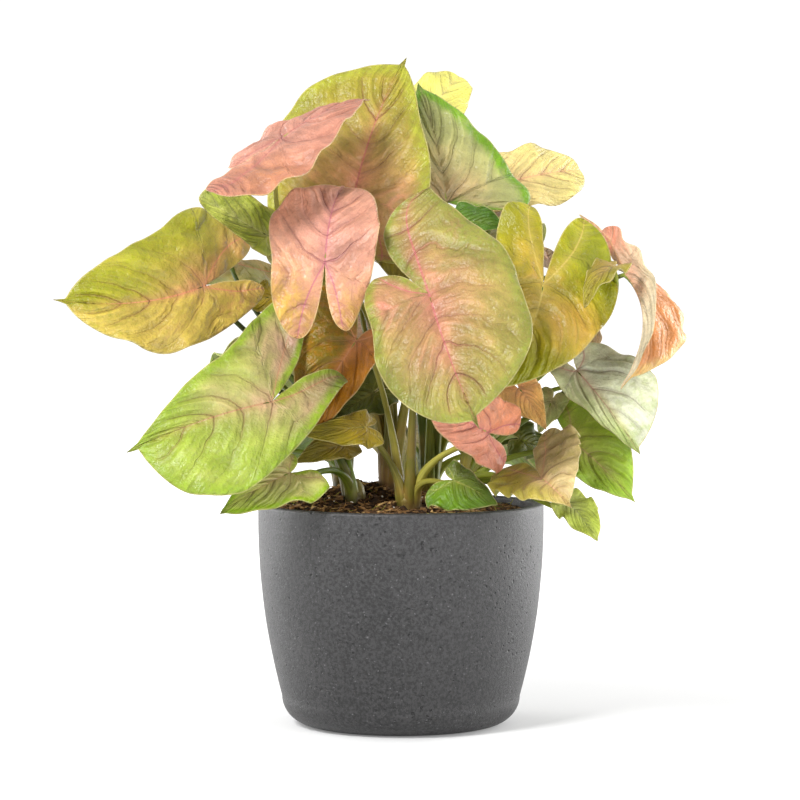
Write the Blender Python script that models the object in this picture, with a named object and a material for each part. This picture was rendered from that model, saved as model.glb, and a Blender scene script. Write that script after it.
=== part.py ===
"""An arrowhead plant (Syngonium) grown in a round cup pot with a concrete look.

The pot stands on the origin with +Z up, and its best side faces -Y.
Sizes and places are millimetres, and MM turns them into Blender's metres.
"""

from __future__ import annotations

import math
from dataclasses import dataclass

import bmesh
import bpy
import numpy as np

MM = 0.001
GAP = 0.3  # clearance between pieces that touch

# Pot
POT_HEIGHT = 116.0
POT_RADIUS = 75.0
POT_FULL_HEIGHT = 107.0  # above this the side is upright
POT_TAPER = 16.8  # the side draws in by this much down to the floor
POT_CORNER_HEIGHT = 15.0
POT_BASE_RADIUS = 46.5
POT_WALL = 5.0
POT_FLOOR = 8.0
POT_LIP_ROUND = 1.6
POT_SEGMENTS = 44
POT_FOOT_STEPS = 4  # facets of the rounded foot, the side and each half of the lip
POT_SIDE_STEPS = 5
POT_LIP_STEPS = 2

# Soil
SOIL_EDGE = 112.0
SOIL_RISE = 14.0
SOIL_PEAK = (-18.0, 14.0)
SOIL_SPREAD = 42.0
SOIL_LUMP = 1.1  # height of the lumps in its top
SOIL_WAVES = (0.31, 0.27)  # turns of the lumps, in radians per millimetre along X and Y
SOIL_CROSS_WAVES = (0.55, 0.43)
SOIL_WALL_GAP = 0.35
SOIL_FOOT_GAP = 2.0
SOIL_SEGMENTS = 32
SOIL_RINGS = 7

# Plant
BLADE_THICKNESS = 0.7
BLADE_ROWS = 8  # grid from lobe to tip, and from midrib to margin
BLADE_COLUMNS = 3
SMALL_BLADE = 22.0  # a blade narrower than this on both sides has a coarser grid
SMALL_ROWS = 6
SMALL_COLUMNS = 2
LOBE_SHARE = 0.34  # the rows behind the petiole
DRIP_SHARE = 0.05  # the narrow tip's part of the blade's length
PETIOLE_SIDES = 5
PETIOLE_STEPS = 8
PETIOLE_TIP_RADIUS = 1.05
PETIOLE_BASE_RADIUS = 1.7
SHEATH_RADIUS = 2.6
SHEATH_SHARE = 1 / 3  # the sheath's part of the petiole
PETIOLE_START_DEPTH = 8.0  # below its shoot's crown
PETIOLE_START_OUT = 0.6  # off the shoot's middle, as a share of its radius
PETIOLE_RISE = 0.45  # length of the petiole's first bend, as a share of its span
PETIOLE_OUT = 0.12  # lean of the first bend, as a share of the way out
PETIOLE_EASE = 0.05
STEM_SIDES = 9
STEM_SHARES = (0.8, 1.0, 0.9, 0.45)  # radius at the foot, the soil, the shoulder and the crown
STEM_SHOULDER = 0.6  # height of the shoulder, as a share of the rise
ROOT_DEPTH = 24.0
HOLE_CLEARANCE = 0.4
HOLE_RISE = 20.0  # how far the cutter of a stem's hole reaches above the soil


@dataclass(frozen=True)
class Half:
    """One half of a blade, in flat sizes, with turns in degrees."""

    width: float  # furthest reach of the margin from the midrib
    back: float  # how far the lobe reaches behind the petiole
    out: float  # how far the lobe's end stands off the midrib's line
    fold: float = 10.0  # turn about the midrib, edge towards the face
    roll: float = -20.0  # further turn from the midrib to the margin
    lift: float = 0.0  # the lobe's end above the blade, towards the face
    widest: float = 0.34  # where the reach is greatest, as a share from lobe to tip
    blunt: float = 0.8  # exponent of the margin's fall to the tip: small is blunt
    belly: float = 1.0  # swell of the lobe's inner edge into the notch


@dataclass(frozen=True)
class Leaf:
    """A blade on its petiole, placed by where the petiole meets it and by its tip."""

    name: str
    shoot: str
    attach: tuple[float, float, float]
    tip: tuple[float, float, float]
    face: tuple[float, float, float]  # direction that the upper face looks in
    left: Half
    right: Half
    colour: str
    arch: float = 5.0  # rise of the midrib's middle, towards the face
    side: float = 0.0  # sideways bend of the midrib's middle
    twist: float = 0.0  # turn of the blade about its midrib at the tip
    drip: float = 1.6  # half width of the narrow tip, or 0 for a round end
    wave: float = 1.5  # height of the margin's waves, and how many there are
    waves: float = 2.0
    phase: float = 0.0
    reach: float = 0.4  # length of the petiole's last bend, as a share of its span
    lean: float = 0.45  # how far the petiole's end leans along the midrib
    via: tuple[float, float, float] = (0.0, 0.0, 0.0)  # shift of the petiole's middle


@dataclass(frozen=True)
class Shoot:
    """A short stem that several petioles sheathe and leave."""

    name: str
    place: tuple[float, float]
    radius: float
    rise: float  # height of its crown above the soil


COLOURS = {
    "pot": (0.075, 0.075, 0.078),
    "soil": (0.07, 0.037, 0.018),
    "stem": (0.22, 0.25, 0.05),
    "lime": (0.44, 0.55, 0.10),
    "green": (0.17, 0.33, 0.06),
    "dark_green": (0.06, 0.12, 0.03),
    "olive": (0.36, 0.33, 0.07),
    "pink": (0.72, 0.32, 0.26),
    "orange": (0.66, 0.30, 0.12),
    "cream": (0.66, 0.66, 0.28),
    "silver": (0.34, 0.42, 0.20),
}

SHOOTS = (
    Shoot("front_shoot", (4.0, -22.0), 7.0, 12.0),
    Shoot("left_shoot", (-24.0, -14.0), 6.0, 10.0),
    Shoot("middle_shoot", (-6.0, 10.0), 6.5, 16.0),
    Shoot("right_shoot", (28.0, -8.0), 6.0, 10.0),
    Shoot("back_shoot", (14.0, 34.0), 6.5, 12.0),
    Shoot("back_left_shoot", (-30.0, 30.0), 6.0, 12.0),
)
LEAVES = (
    Leaf("leaf_tall", "middle_shoot", (-25, -8, 275), (3, 28, 351), (-0.1, -1, 0.4),
         Half(50, 42, 24, widest=0.52, blunt=0.75), Half(39, 28, 20, blunt=0.8), "lime", arch=5, side=-2),
    Leaf("leaf_far_left", "left_shoot", (-101, -30, 230), (-175, -62, 223), (0, -1, 0.5),
         Half(29, 34, 16, widest=0.55, blunt=0.6), Half(42, 33, 12, widest=0.37, blunt=0.75), "lime",
         arch=4, side=-8),
    Leaf("leaf_small_curled", "left_shoot", (-69, -22, 256), (-102, -50, 276), (-0.4, -1, 0.2),
         Half(8.5, 8, 5, widest=0.35, blunt=0.35), Half(13, 8, 6, widest=0.55, blunt=0.35), "green",
         arch=4, drip=0),
    Leaf("leaf_pink_high", "middle_shoot", (-60, -52, 305), (-16, -8, 327), (0, -0.55, 1),
         Half(25, 20, 8, fold=-15), Half(31, 57, 12, fold=12, widest=0.32, lift=6), "pink",
         arch=4, via=(4, 12, 0)),
    Leaf("leaf_pink_front", "middle_shoot", (-38, -75, 242), (-29, -39, 281), (0, -1, 0.3),
         Half(29, 35, 12, widest=0.42, blunt=0.5), Half(25, 27, 14, blunt=0.35, widest=0.6), "pink",
         arch=8, side=-2, via=(10, 18, 14), lean=0.15),
    Leaf("leaf_centre", "front_shoot", (14, -88, 226), (38, -118, 161), (0, -1, 0.35),
         Half(50, 60, 14, widest=0.58, blunt=0.7, belly=22), Half(34, 19, 24, widest=0.6, blunt=0.45),
         "cream", arch=5, side=2),
    Leaf("leaf_right_front", "right_shoot", (72, -52, 231), (43, -78, 175), (0.1, -1, 0.3),
         Half(37, 46, 17, widest=0.4), Half(27, 40, 10, blunt=0.7), "lime", arch=4, side=-5),
    Leaf("leaf_right_drooping", "right_shoot", (116, -30, 236), (111, -62, 178), (0.75, -0.65, 0.2),
         Half(41, 50, 6, widest=0.45, blunt=0.9), Half(14, 26, 5, fold=70, roll=0), "orange",
         arch=13, via=(0, 21, 0)),
    Leaf("leaf_backlit_right", "back_shoot", (41, 45, 280), (98, 80, 293), (0, -1, 0.5),
         Half(20, 16, 8, widest=0.6, blunt=0.4), Half(19, 14, 8, widest=0.65, blunt=0.4), "cream",
         arch=4, drip=0),
    Leaf("leaf_grey_high", "back_shoot", (24, 10, 274), (9, 52, 339), (0.3, -1, 0.4),
         Half(22, 12, 12), Half(40, 6, 30, widest=0.3, blunt=0.9), "silver", arch=5),
    Leaf("leaf_bright_curl", "middle_shoot", (24, -12, 262), (54, -24, 260), (0, -1, 0.5),
         Half(11, 10, 6, widest=0.5, blunt=0.5), Half(13, 10, 8), "green", arch=4),
    Leaf("leaf_backlit_top", "back_shoot", (13, 48, 320), (32, 78, 344), (0, -1, 0.4),
         Half(16, 10, 6, widest=0.6, blunt=0.4), Half(16, 10, 8, widest=0.5, blunt=0.4), "cream",
         arch=2, drip=0),
    Leaf("leaf_low_left", "left_shoot", (-65, -68, 172), (-136, -90, 148), (0, -1, 0.5),
         Half(43, 38, 1, widest=0.6, blunt=0.6, belly=12, lift=7),
         Half(50, 34, 46, widest=0.2, blunt=0.85, belly=0),
         "lime", arch=6),
    Leaf("leaf_orange_inner", "front_shoot", (-23, -33, 202), (-51, -47, 156), (0, -1, 0.3),
         Half(15, 14, 8, widest=0.55, blunt=0.5), Half(30, 20, 20, blunt=0.7), "orange", arch=4),
    Leaf("leaf_olive_low", "front_shoot", (-18, -41, 158), (-51, -58, 155), (0, -1, 0.3),
         Half(10, 8, 6, blunt=0.6), Half(8, 8, 4, widest=0.3, blunt=0.7), "olive", arch=2),
    Leaf("leaf_olive_lowest", "left_shoot", (-29, -31, 149), (-54, -46, 140), (0, -1, 0.3),
         Half(8, 8, 4), Half(10, 8, 4), "olive", arch=2),
    Leaf("leaf_rim_left", "left_shoot", (-56, -66, 136), (-90, -88, 117), (0, -1, 0.6),
         Half(18, 14, 8, blunt=0.6), Half(12, 10, 8), "green", arch=3),
    Leaf("leaf_pink_low", "front_shoot", (44, -59, 156), (12, -76, 170), (0, -1, 0.4),
         Half(17, 17, 8, widest=0.45, blunt=0.4), Half(20, 20, 12, widest=0.35), "pink", arch=3),
    Leaf("leaf_orange_low", "right_shoot", (61, -24, 177), (74, -44, 157), (0, -1, 0.4),
         Half(10, 8, 5), Half(14, 12, 8), "orange", arch=3),
    Leaf("leaf_heart_low", "right_shoot", (70, -78, 134), (84, -100, 121), (0, -1, 0.4),
         Half(30, 42, 26, widest=0.45), Half(20, 36, 8, widest=0.4, belly=8), "olive", arch=3),
    Leaf("leaf_rim_green", "front_shoot", (27, -50, 131), (49, -56, 119), (0, -1, 0.5),
         Half(9, 8, 6), Half(18, 9, 8), "green", arch=3),
    Leaf("leaf_green_right", "right_shoot", (88, -28, 150), (119, -52, 120), (0, -1, 0.5),
         Half(26, 26, 14, widest=0.4), Half(14, 12, 8, widest=0.5), "green", arch=4),
    Leaf("leaf_silver_right", "right_shoot", (91, -22, 186), (122, -46, 144), (0, -1, 0.5),
         Half(30, 13, 12, widest=0.55, blunt=0.75), Half(12, 10, 6, blunt=0.7), "silver", arch=4, lean=0.2),
    Leaf("leaf_over_rim", "right_shoot", (84, -62, 121), (98, -84, 103), (0, -1, 0.6),
         Half(10, 10, 5, widest=0.5, blunt=0.6), Half(9, 10, 4, widest=0.5), "lime", arch=3),
    Leaf("leaf_dark_right", "right_shoot", (63, 6, 149), (80, 24, 140), (0, -1, 0.5),
         Half(11, 8, 6), Half(10, 8, 5), "dark_green", arch=2),
    Leaf("leaf_inner_olive", "middle_shoot", (-4, 12, 252), (2, -2, 226), (0, -1, 0.4),
         Half(15, 22, 8), Half(15, 20, 8), "olive", arch=2),
    Leaf("leaf_inner_left", "back_left_shoot", (-68, 6, 224), (-90, -6, 216), (0, -1, 0.6),
         Half(8, 7, 5), Half(9, 7, 5), "lime", arch=2),
    Leaf("leaf_inner_dark", "middle_shoot", (-15, -9, 174), (-35, -7, 160), (0, -1, 0.5),
         Half(12, 10, 6), Half(12, 10, 6), "dark_green", arch=2),
    Leaf("leaf_back_top", "middle_shoot", (-30, 50, 302), (-44, 84, 262), (0, 1, 0.5),
         Half(27, 26, 16), Half(30, 26, 14), "lime", arch=6),
    Leaf("leaf_back_high", "back_left_shoot", (-40, 80, 258), (-56, 126, 212), (-0.2, 1, 0.5),
         Half(38, 30, 18), Half(36, 34, 16), "silver", arch=7),
    Leaf("leaf_back_high_right", "back_shoot", (43, 78, 256), (65, 126, 214), (0.3, 1, 0.5),
         Half(36, 34, 16), Half(38, 30, 18), "lime", arch=7),
    Leaf("leaf_back_far_left", "back_left_shoot", (-92, 36, 244), (-146, 66, 226), (-0.3, 1, 0.6),
         Half(26, 24, 14), Half(24, 26, 12), "cream", arch=5),
    Leaf("leaf_back_middle", "back_left_shoot", (-14, 96, 206), (-18, 146, 160), (0, 1, 0.5),
         Half(36, 32, 16), Half(36, 32, 16), "pink", arch=7),
    Leaf("leaf_back_left", "back_left_shoot", (-72, 62, 186), (-112, 96, 150), (-0.5, 1, 0.5),
         Half(30, 28, 14), Half(30, 26, 14), "green", arch=6),
    Leaf("leaf_back_right", "back_shoot", (58, 70, 206), (92, 112, 182), (0.5, 1, 0.5),
         Half(26, 26, 12), Half(26, 24, 12), "cream", arch=6),
    Leaf("leaf_back_low_left", "back_left_shoot", (-50, 74, 150), (-78, 108, 120), (-0.3, 1, 0.6),
         Half(24, 22, 10), Half(24, 22, 10), "olive", arch=4),
    Leaf("leaf_back_low", "back_shoot", (4, 88, 150), (6, 130, 114), (0, 1, 0.6),
         Half(28, 26, 12), Half(28, 26, 12), "lime", arch=5),
    Leaf("leaf_back_low_right", "back_shoot", (52, 66, 146), (84, 96, 118), (0.4, 1, 0.6),
         Half(22, 20, 10), Half(22, 20, 10), "green", arch=4),
    Leaf("leaf_back_side", "back_left_shoot", (-84, 24, 180), (-128, 40, 160), (-0.4, -0.2, 1),
         Half(22, 22, 12), Half(22, 22, 12), "silver", arch=5),
    Leaf("leaf_right_hook", "right_shoot", (107, -53, 240), (92, -68, 219), (-0.5, -1, 0.6),
         Half(8, 7, 4), Half(9, 8, 5), "green", arch=5, via=(0, 15, 0)),
    Leaf("leaf_grey_low", "right_shoot", (78.5, -12.5, 170), (71.5, -20.5, 154), (0, -1, 0.4),
         Half(8, 7, 4), Half(8, 7, 4), "silver", arch=1),
    Leaf("leaf_side_right_high", "right_shoot", (86, 24, 236), (102, 42, 190), (1, 0.2, 0.5),
         Half(28, 26, 14), Half(30, 24, 14), "pink", arch=6),
    Leaf("leaf_side_right_low", "right_shoot", (96, 22, 178), (116, 38, 136), (1, 0.1, 0.5),
         Half(26, 22, 12), Half(24, 24, 12), "lime", arch=5),
    Leaf("leaf_side_right_top", "back_shoot", (48, 16, 262), (76, 24, 253), (0.2, 0.2, 1),
         Half(18, 16, 8), Half(18, 16, 8), "silver", arch=4),
    Leaf("leaf_side_left_high", "left_shoot", (-88, -18, 183), (-104, -12, 147), (-1, -0.1, 0.5),
         Half(18, 18, 10), Half(18, 18, 10), "pink", arch=5),
    Leaf("leaf_side_left_low", "left_shoot", (-78, 22, 148), (-100, 36, 126), (-1, 0, 0.8),
         Half(18, 16, 9), Half(20, 18, 9), "lime", arch=3),
)


def unit(vector: np.ndarray) -> np.ndarray:
    """The vector at length one."""
    return vector / np.linalg.norm(vector)


def margin(half: Half, drip: float, along: np.ndarray) -> np.ndarray:
    """The flat half's reach from the midrib, from its lobe's end (0) to its tip (1)."""
    body = np.clip(along / (1 - DRIP_SHARE * (drip > 0)), 0, 1)
    round_end = half.blunt * half.widest / (1 - half.widest)
    rise = (body / half.widest) ** round_end
    fall = ((1 - body) / (1 - half.widest)) ** half.blunt
    start = half.out * (1 - body) ** 3
    reach = start + (half.width - half.out * (1 - half.widest) ** 3) * rise * fall
    return np.hypot(reach, drip * np.clip((1 - along) / DRIP_SHARE, 0, 1) * along)


def flat_half(
    half: Half, length: float, drip: float, rows: int, columns: int
) -> tuple[np.ndarray, np.ndarray]:
    """A grid over the flat half: rows from lobe to tip, columns from midrib to margin."""
    row = np.arange(rows + 1)
    lobe_rows = round(rows * LOBE_SHARE)
    along = (1 - np.cos(math.pi * row / rows)) / 2
    outer_y = -half.back + along * (half.back + length)
    outer_x = margin(half, drip, along)
    lobe = np.clip(row / lobe_rows, 0, 1)
    inner_x = half.out * (1 - lobe) - half.belly * 4 * lobe * (1 - lobe)
    past = np.clip((row - lobe_rows) / (rows - lobe_rows), 0, 1)
    inner_y = np.where(row < lobe_rows, -half.back * (1 - lobe**2), length * past)
    share = np.linspace(0, 1, columns + 1)
    x = inner_x[:, None] + (outer_x - inner_x)[:, None] * share
    y = inner_y[:, None] + (outer_y - inner_y)[:, None] * share
    return x, y


class Blade:
    """Bends a leaf's flat shape into its place."""

    def __init__(self, leaf: Leaf) -> None:
        self.leaf = leaf
        self.attach = np.array(leaf.attach, float)
        chord = np.array(leaf.tip, float) - self.attach
        self.length = float(np.linalg.norm(chord))
        self.along = unit(chord)
        face = np.array(leaf.face, float)
        self.normal = unit(face - self.along * (face @ self.along))
        self.across = np.cross(self.along, self.normal)

    def frame(self, y: np.ndarray) -> tuple[np.ndarray, np.ndarray, np.ndarray]:
        """The midrib's place, and the directions across and up from it, at each y."""
        leaf = self.leaf
        share = y / self.length
        bow = np.where(share > 0, 4 * share * (1 - share), 4 * share)[..., None]
        slope = 4 * leaf.arch / self.length * (1 - 2 * np.clip(share, 0, 1))[..., None]
        place = self.attach + self.along * y[..., None]
        place = place + bow * (leaf.arch * self.normal + leaf.side * self.across)
        up = (self.normal - slope * self.along) / np.sqrt(1 + slope**2)
        turn = math.radians(leaf.twist) * share[..., None]
        across = self.across * np.cos(turn) + up * np.sin(turn)
        up = up * np.cos(turn) - self.across * np.sin(turn)
        return place, across, up

    def bend(self, half: Half, sign: float, x: np.ndarray, y: np.ndarray) -> np.ndarray:
        """Places of the flat points (x, y) of one half; sign is 1 on the right."""
        leaf = self.leaf
        place, across, up = self.frame(y)
        turn = math.radians(half.roll) * x / half.width
        middle = math.radians(half.fold) + turn / 2
        reach = x * np.sinc(turn / 2 / math.pi)
        height = reach * np.sin(middle)
        height = height + half.lift * np.clip(-y / half.back, 0, 1) ** 2
        ripple = np.sin(2 * math.pi * (leaf.waves * y / self.length + leaf.phase + 0.3 * sign))
        height = height + leaf.wave * ripple * (x / half.width) ** 2
        side = sign * reach * np.cos(middle)
        return place + across * side[..., None] + up * height[..., None]

    def half_grid(self, sign: float, rows: int, columns: int) -> np.ndarray:
        """Places of one half's grid, an array of rows by columns by three."""
        half = self.leaf.right if sign > 0 else self.leaf.left
        x, y = flat_half(half, self.length, self.leaf.drip, rows, columns)
        return self.bend(half, sign, x, y)


def bezier(points: list[np.ndarray], steps: int) -> np.ndarray:
    """Places along a cubic curve with four control points."""
    t = np.linspace(0, 1, steps + 1)[:, None]
    a, b, c, d = points
    return (1 - t) ** 3 * a + 3 * (1 - t) ** 2 * t * b + 3 * (1 - t) * t**2 * c + t**3 * d


def ring_frames(path: np.ndarray) -> tuple[np.ndarray, np.ndarray]:
    """Two directions square to the path at each point, carried along without spin."""
    tangents = np.gradient(path, axis=0)
    side = np.cross(tangents[0], (0.3, 1.0, 0.1))
    sides = []
    for tangent in tangents:
        side = unit(side - tangent * (side @ tangent) / (tangent @ tangent))
        sides.append(side)
    sides = np.array(sides)
    ups = np.cross(tangents, sides)
    return sides, ups / np.linalg.norm(ups, axis=1, keepdims=True)


def add_loft(mesh: bmesh.types.BMesh, rings: list[np.ndarray]) -> None:
    """Joins rings of places, in millimetres, and closes both ends with a fan."""
    loops = [[mesh.verts.new(place * MM) for place in ring] for ring in rings]
    count = len(loops[0])
    for lower, upper in zip(loops, loops[1:]):
        for i in range(count):
            j = (i + 1) % count
            mesh.faces.new((lower[i], lower[j], upper[j], upper[i]))
    for loop, centre in ((loops[0][::-1], rings[0].mean(0)), (loops[-1], rings[-1].mean(0))):
        middle = mesh.verts.new(centre * MM)
        for i in range(count):
            mesh.faces.new((loop[i], loop[(i + 1) % count], middle))


def circle(centre: tuple[float, float, float], radius: float, count: int) -> np.ndarray:
    """A level ring of places, anticlockwise from above."""
    angle = np.arange(count) * 2 * math.pi / count
    x = centre[0] + radius * np.cos(angle)
    y = centre[1] + radius * np.sin(angle)
    return np.stack([x, y, np.full(count, float(centre[2]))], axis=-1)


def tube_rings(path: np.ndarray, radii: np.ndarray, sides: int) -> list[np.ndarray]:
    """Rings square to a path, with a radius at each of its points."""
    across, up = ring_frames(path)
    angle = (np.arange(sides) * 2 * math.pi / sides)[:, None]
    rings = []
    for place, radius, a, b in zip(path, radii, across, up):
        rings.append(place + radius * (np.cos(angle) * a + np.sin(angle) * b))
    return rings


def material(colour: str, roughness: float) -> bpy.types.Material:
    """A plain finish of one of the part's colours."""
    made = bpy.data.materials.new(colour)
    made.use_nodes = True
    shader = made.node_tree.nodes["Principled BSDF"]
    shader.inputs["Base Color"].default_value = (*COLOURS[colour], 1.0)
    shader.inputs["Roughness"].default_value = roughness
    return made


def add_object(name: str, mesh: bmesh.types.BMesh, finish: bpy.types.Material) -> bpy.types.Object:
    """Puts a finished mesh into the scene as a named, smooth-shaded object."""
    bmesh.ops.recalc_face_normals(mesh, faces=mesh.faces)
    data = bpy.data.meshes.new(name)
    mesh.to_mesh(data)
    mesh.free()
    data.materials.append(finish)
    data.shade_smooth()
    made = bpy.data.objects.new(name, data)
    bpy.context.scene.collection.objects.link(made)
    return made


def pot_side(height: float) -> float:
    """Outer radius of the pot at a height, above its rounded foot."""
    short = np.clip(1 - height / POT_FULL_HEIGHT, 0, 1)
    return POT_RADIUS - POT_TAPER * short**2


def pot_profile() -> list[tuple[float, float]]:
    """Radius and height along the pot's section, from the foot round to the inner floor."""
    foot_top = pot_side(POT_CORNER_HEIGHT)
    points = []
    for angle in np.radians(np.linspace(-90, 0, POT_FOOT_STEPS + 1)):
        radius = POT_BASE_RADIUS + (foot_top - POT_BASE_RADIUS) * math.cos(angle)
        points.append((radius, POT_CORNER_HEIGHT * (1 + math.sin(angle))))
    for height in np.linspace(POT_CORNER_HEIGHT, POT_FULL_HEIGHT, POT_SIDE_STEPS + 1)[1:]:
        points.append((pot_side(height), height))
    inner = POT_RADIUS - POT_WALL
    for centre, start in ((POT_RADIUS - POT_LIP_ROUND, 0), (inner + POT_LIP_ROUND, 90)):
        for angle in np.radians(np.linspace(start, start + 90, POT_LIP_STEPS + 1)):
            radius = centre + POT_LIP_ROUND * math.cos(angle)
            points.append((radius, POT_HEIGHT - POT_LIP_ROUND * (1 - math.sin(angle))))
    for height in np.linspace(POT_FULL_HEIGHT, POT_FLOOR + POT_CORNER_HEIGHT, 4):
        points.append((pot_side(height) - POT_WALL, height))
    points.append((POT_BASE_RADIUS, POT_FLOOR))
    return points


def build_pot() -> None:
    """The cup pot, one turned solid."""
    mesh = bmesh.new()
    add_loft(mesh, [circle((0, 0, height), radius, POT_SEGMENTS) for radius, height in pot_profile()])
    add_object("pot", mesh, material("pot", 0.85))


def soil_height(x: np.ndarray, y: np.ndarray) -> np.ndarray:
    """Height of the soil's top: a mound behind the middle, with lumps."""
    away = np.hypot(x - SOIL_PEAK[0], y - SOIL_PEAK[1])
    inside = 1 - (np.hypot(x, y) / (POT_RADIUS - POT_WALL)) ** 4
    mound = SOIL_RISE * np.exp(-((away / SOIL_SPREAD) ** 2)) * np.clip(inside, 0, 1)
    lumps = np.sin(SOIL_WAVES[0] * x) * np.sin(SOIL_WAVES[1] * y)
    lumps = lumps + np.sin(SOIL_CROSS_WAVES[0] * x - SOIL_CROSS_WAVES[1] * y) / 2
    return SOIL_EDGE + mound + SOIL_LUMP * lumps


def soil_ring(share: float) -> np.ndarray:
    """One ring of the soil's top, at a share of the way to the wall."""
    ring = circle((0, 0, 0), share * (POT_RADIUS - POT_WALL - SOIL_WALL_GAP), SOIL_SEGMENTS)
    ring[:, 2] = soil_height(ring[:, 0], ring[:, 1])
    return ring


def build_soil() -> None:
    """The potting mix that fills the pot, with a plain hole for each shoot."""
    mesh = bmesh.new()
    rings = [circle((0, 0, POT_FLOOR + GAP), POT_BASE_RADIUS - SOIL_FOOT_GAP, SOIL_SEGMENTS)]
    for height in np.linspace(POT_FLOOR + POT_CORNER_HEIGHT, POT_FULL_HEIGHT, 4):
        rings.append(circle((0, 0, height), pot_side(height) - POT_WALL - 2 * GAP, SOIL_SEGMENTS))
    rings += [soil_ring(share) for share in np.linspace(1, 1 / SOIL_RINGS, SOIL_RINGS)]
    add_loft(mesh, rings)
    soil = add_object("soil", mesh, material("soil", 0.95))
    holes = []
    for shoot in SHOOTS:
        mesh = bmesh.new()
        ends = (soil_top(shoot) - ROOT_DEPTH - GAP, soil_top(shoot) + HOLE_RISE)
        radius = shoot.radius + HOLE_CLEARANCE
        add_loft(mesh, [circle((*shoot.place, height), radius, STEM_SIDES) for height in ends])
        holes.append(add_object("hole", mesh, soil.data.materials[0]))
    combine(soil, holes, "DIFFERENCE")


def soil_top(shoot: Shoot) -> float:
    """Height of the soil where a shoot leaves it."""
    return float(soil_height(*shoot.place))


def combine(target: bpy.types.Object, others: list[bpy.types.Object], operation: str) -> None:
    """Joins other solids to the target or cuts them from it, and removes them."""
    group = bpy.data.collections.new("others")
    for other in others:
        group.objects.link(other)
    change = target.modifiers.new("combine", "BOOLEAN")
    change.operation = operation
    change.operand_type = "COLLECTION"
    change.collection = group
    change.solver = "EXACT"
    graph = bpy.context.evaluated_depsgraph_get()
    data = bpy.data.meshes.new_from_object(target.evaluated_get(graph))
    target.modifiers.clear()
    target.data = data
    for other in others:
        bpy.data.objects.remove(other)
    bpy.data.collections.remove(group)


def petiole_path(leaf: Leaf) -> np.ndarray:
    """The petiole's centre line, from inside its shoot to just under the blade."""
    shoot = next(shoot for shoot in SHOOTS if shoot.name == leaf.shoot)
    blade = Blade(leaf)
    attach, across, up = (value[0] for value in blade.frame(np.zeros(1)))
    along = np.cross(up, across)
    arrive = unit((1 - leaf.lean) * up + leaf.lean * along)
    tilt = arrive @ up
    back_off = (BLADE_THICKNESS / 2 + GAP + PETIOLE_TIP_RADIUS * math.sqrt(1 - tilt**2)) / tilt
    end = attach - arrive * (back_off + PETIOLE_EASE)
    crown = soil_top(shoot) + shoot.rise
    outward = np.array([end[0] - shoot.place[0], end[1] - shoot.place[1], 0.0])
    spread = min(1.0, shoot.radius * PETIOLE_START_OUT / np.linalg.norm(outward))
    start = np.array([*shoot.place, crown - PETIOLE_START_DEPTH]) + outward * spread
    span = float(np.linalg.norm(end - start))
    rise = start + np.array([0.0, 0.0, PETIOLE_RISE * span]) + outward * PETIOLE_OUT
    bend = end - arrive * leaf.reach * span
    shift = np.array(leaf.via, float)
    return bezier([start, rise + shift, bend + shift, end], PETIOLE_STEPS)


def build_shoot(shoot: Shoot) -> None:
    """One shoot: a stem standing in the soil, joined with its petioles."""
    finish = material("stem", 0.5)
    top = soil_top(shoot)
    heights = (top - ROOT_DEPTH, top + 1.0, top + shoot.rise * STEM_SHOULDER, top + shoot.rise)
    mesh = bmesh.new()
    rings = []
    for height, share in zip(heights, STEM_SHARES):
        rings.append(circle((*shoot.place, height), shoot.radius * share, STEM_SIDES))
    add_loft(mesh, rings)
    stem = add_object(shoot.name, mesh, finish)
    petioles = []
    for leaf in LEAVES:
        if leaf.shoot != shoot.name:
            continue
        path = petiole_path(leaf)
        share = np.linspace(0, 1, len(path))
        radii = PETIOLE_TIP_RADIUS + (PETIOLE_BASE_RADIUS - PETIOLE_TIP_RADIUS) * (1 - share)
        sheath = np.clip(1 - share / SHEATH_SHARE, 0, 1)
        radii = radii + (SHEATH_RADIUS - PETIOLE_BASE_RADIUS) * sheath
        mesh = bmesh.new()
        add_loft(mesh, tube_rings(path, radii, PETIOLE_SIDES))
        petioles.append(add_object("petiole", mesh, finish))
    combine(stem, petioles, "UNION")


def build_blade(leaf: Leaf) -> None:
    """One leaf blade: two bent halves joined along the midrib, given their thickness."""
    blade = Blade(leaf)
    small = max(leaf.left.width, leaf.right.width) < SMALL_BLADE
    rows = SMALL_ROWS if small else BLADE_ROWS
    columns = SMALL_COLUMNS if small else BLADE_COLUMNS
    mesh = bmesh.new()
    for sign in (-1.0, 1.0):
        grid = blade.half_grid(sign, rows, columns) * MM
        verts = [[mesh.verts.new(place) for place in row] for row in grid]
        for lower, upper in zip(verts, verts[1:]):
            for i in range(columns):
                mesh.faces.new((lower[i], lower[i + 1], upper[i + 1], upper[i])[:: int(sign)])
    bmesh.ops.remove_doubles(mesh, verts=mesh.verts, dist=0.01 * MM)
    bmesh.ops.triangulate(mesh, faces=mesh.faces)
    bmesh.ops.recalc_face_normals(mesh, faces=mesh.faces)
    made = add_object(leaf.name, mesh, material(leaf.colour, 0.5))
    thickness = made.modifiers.new("thickness", "SOLIDIFY")
    thickness.thickness = BLADE_THICKNESS * MM
    thickness.offset = 0.0


def main() -> None:
    """Clears the scene and builds the plant in its pot."""
    for old in list(bpy.data.objects):
        bpy.data.objects.remove(old, do_unlink=True)
    build_pot()
    build_soil()
    for shoot in SHOOTS:
        build_shoot(shoot)
    for leaf in LEAVES:
        build_blade(leaf)


if __name__ == "__main__":
    main()
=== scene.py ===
"""The looks of an arrowhead plant (Syngonium) in a round cup pot.

Each leaf blade of the frame is replaced by a finer one that repeats its form
and adds veins, quilting and a waved edge. The shoots, the potting mix and the
pot are made finer in the same way. Sizes and places are millimetres, as in the
part's own source, and MM turns them into Blender's metres.
"""

from __future__ import annotations

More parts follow.
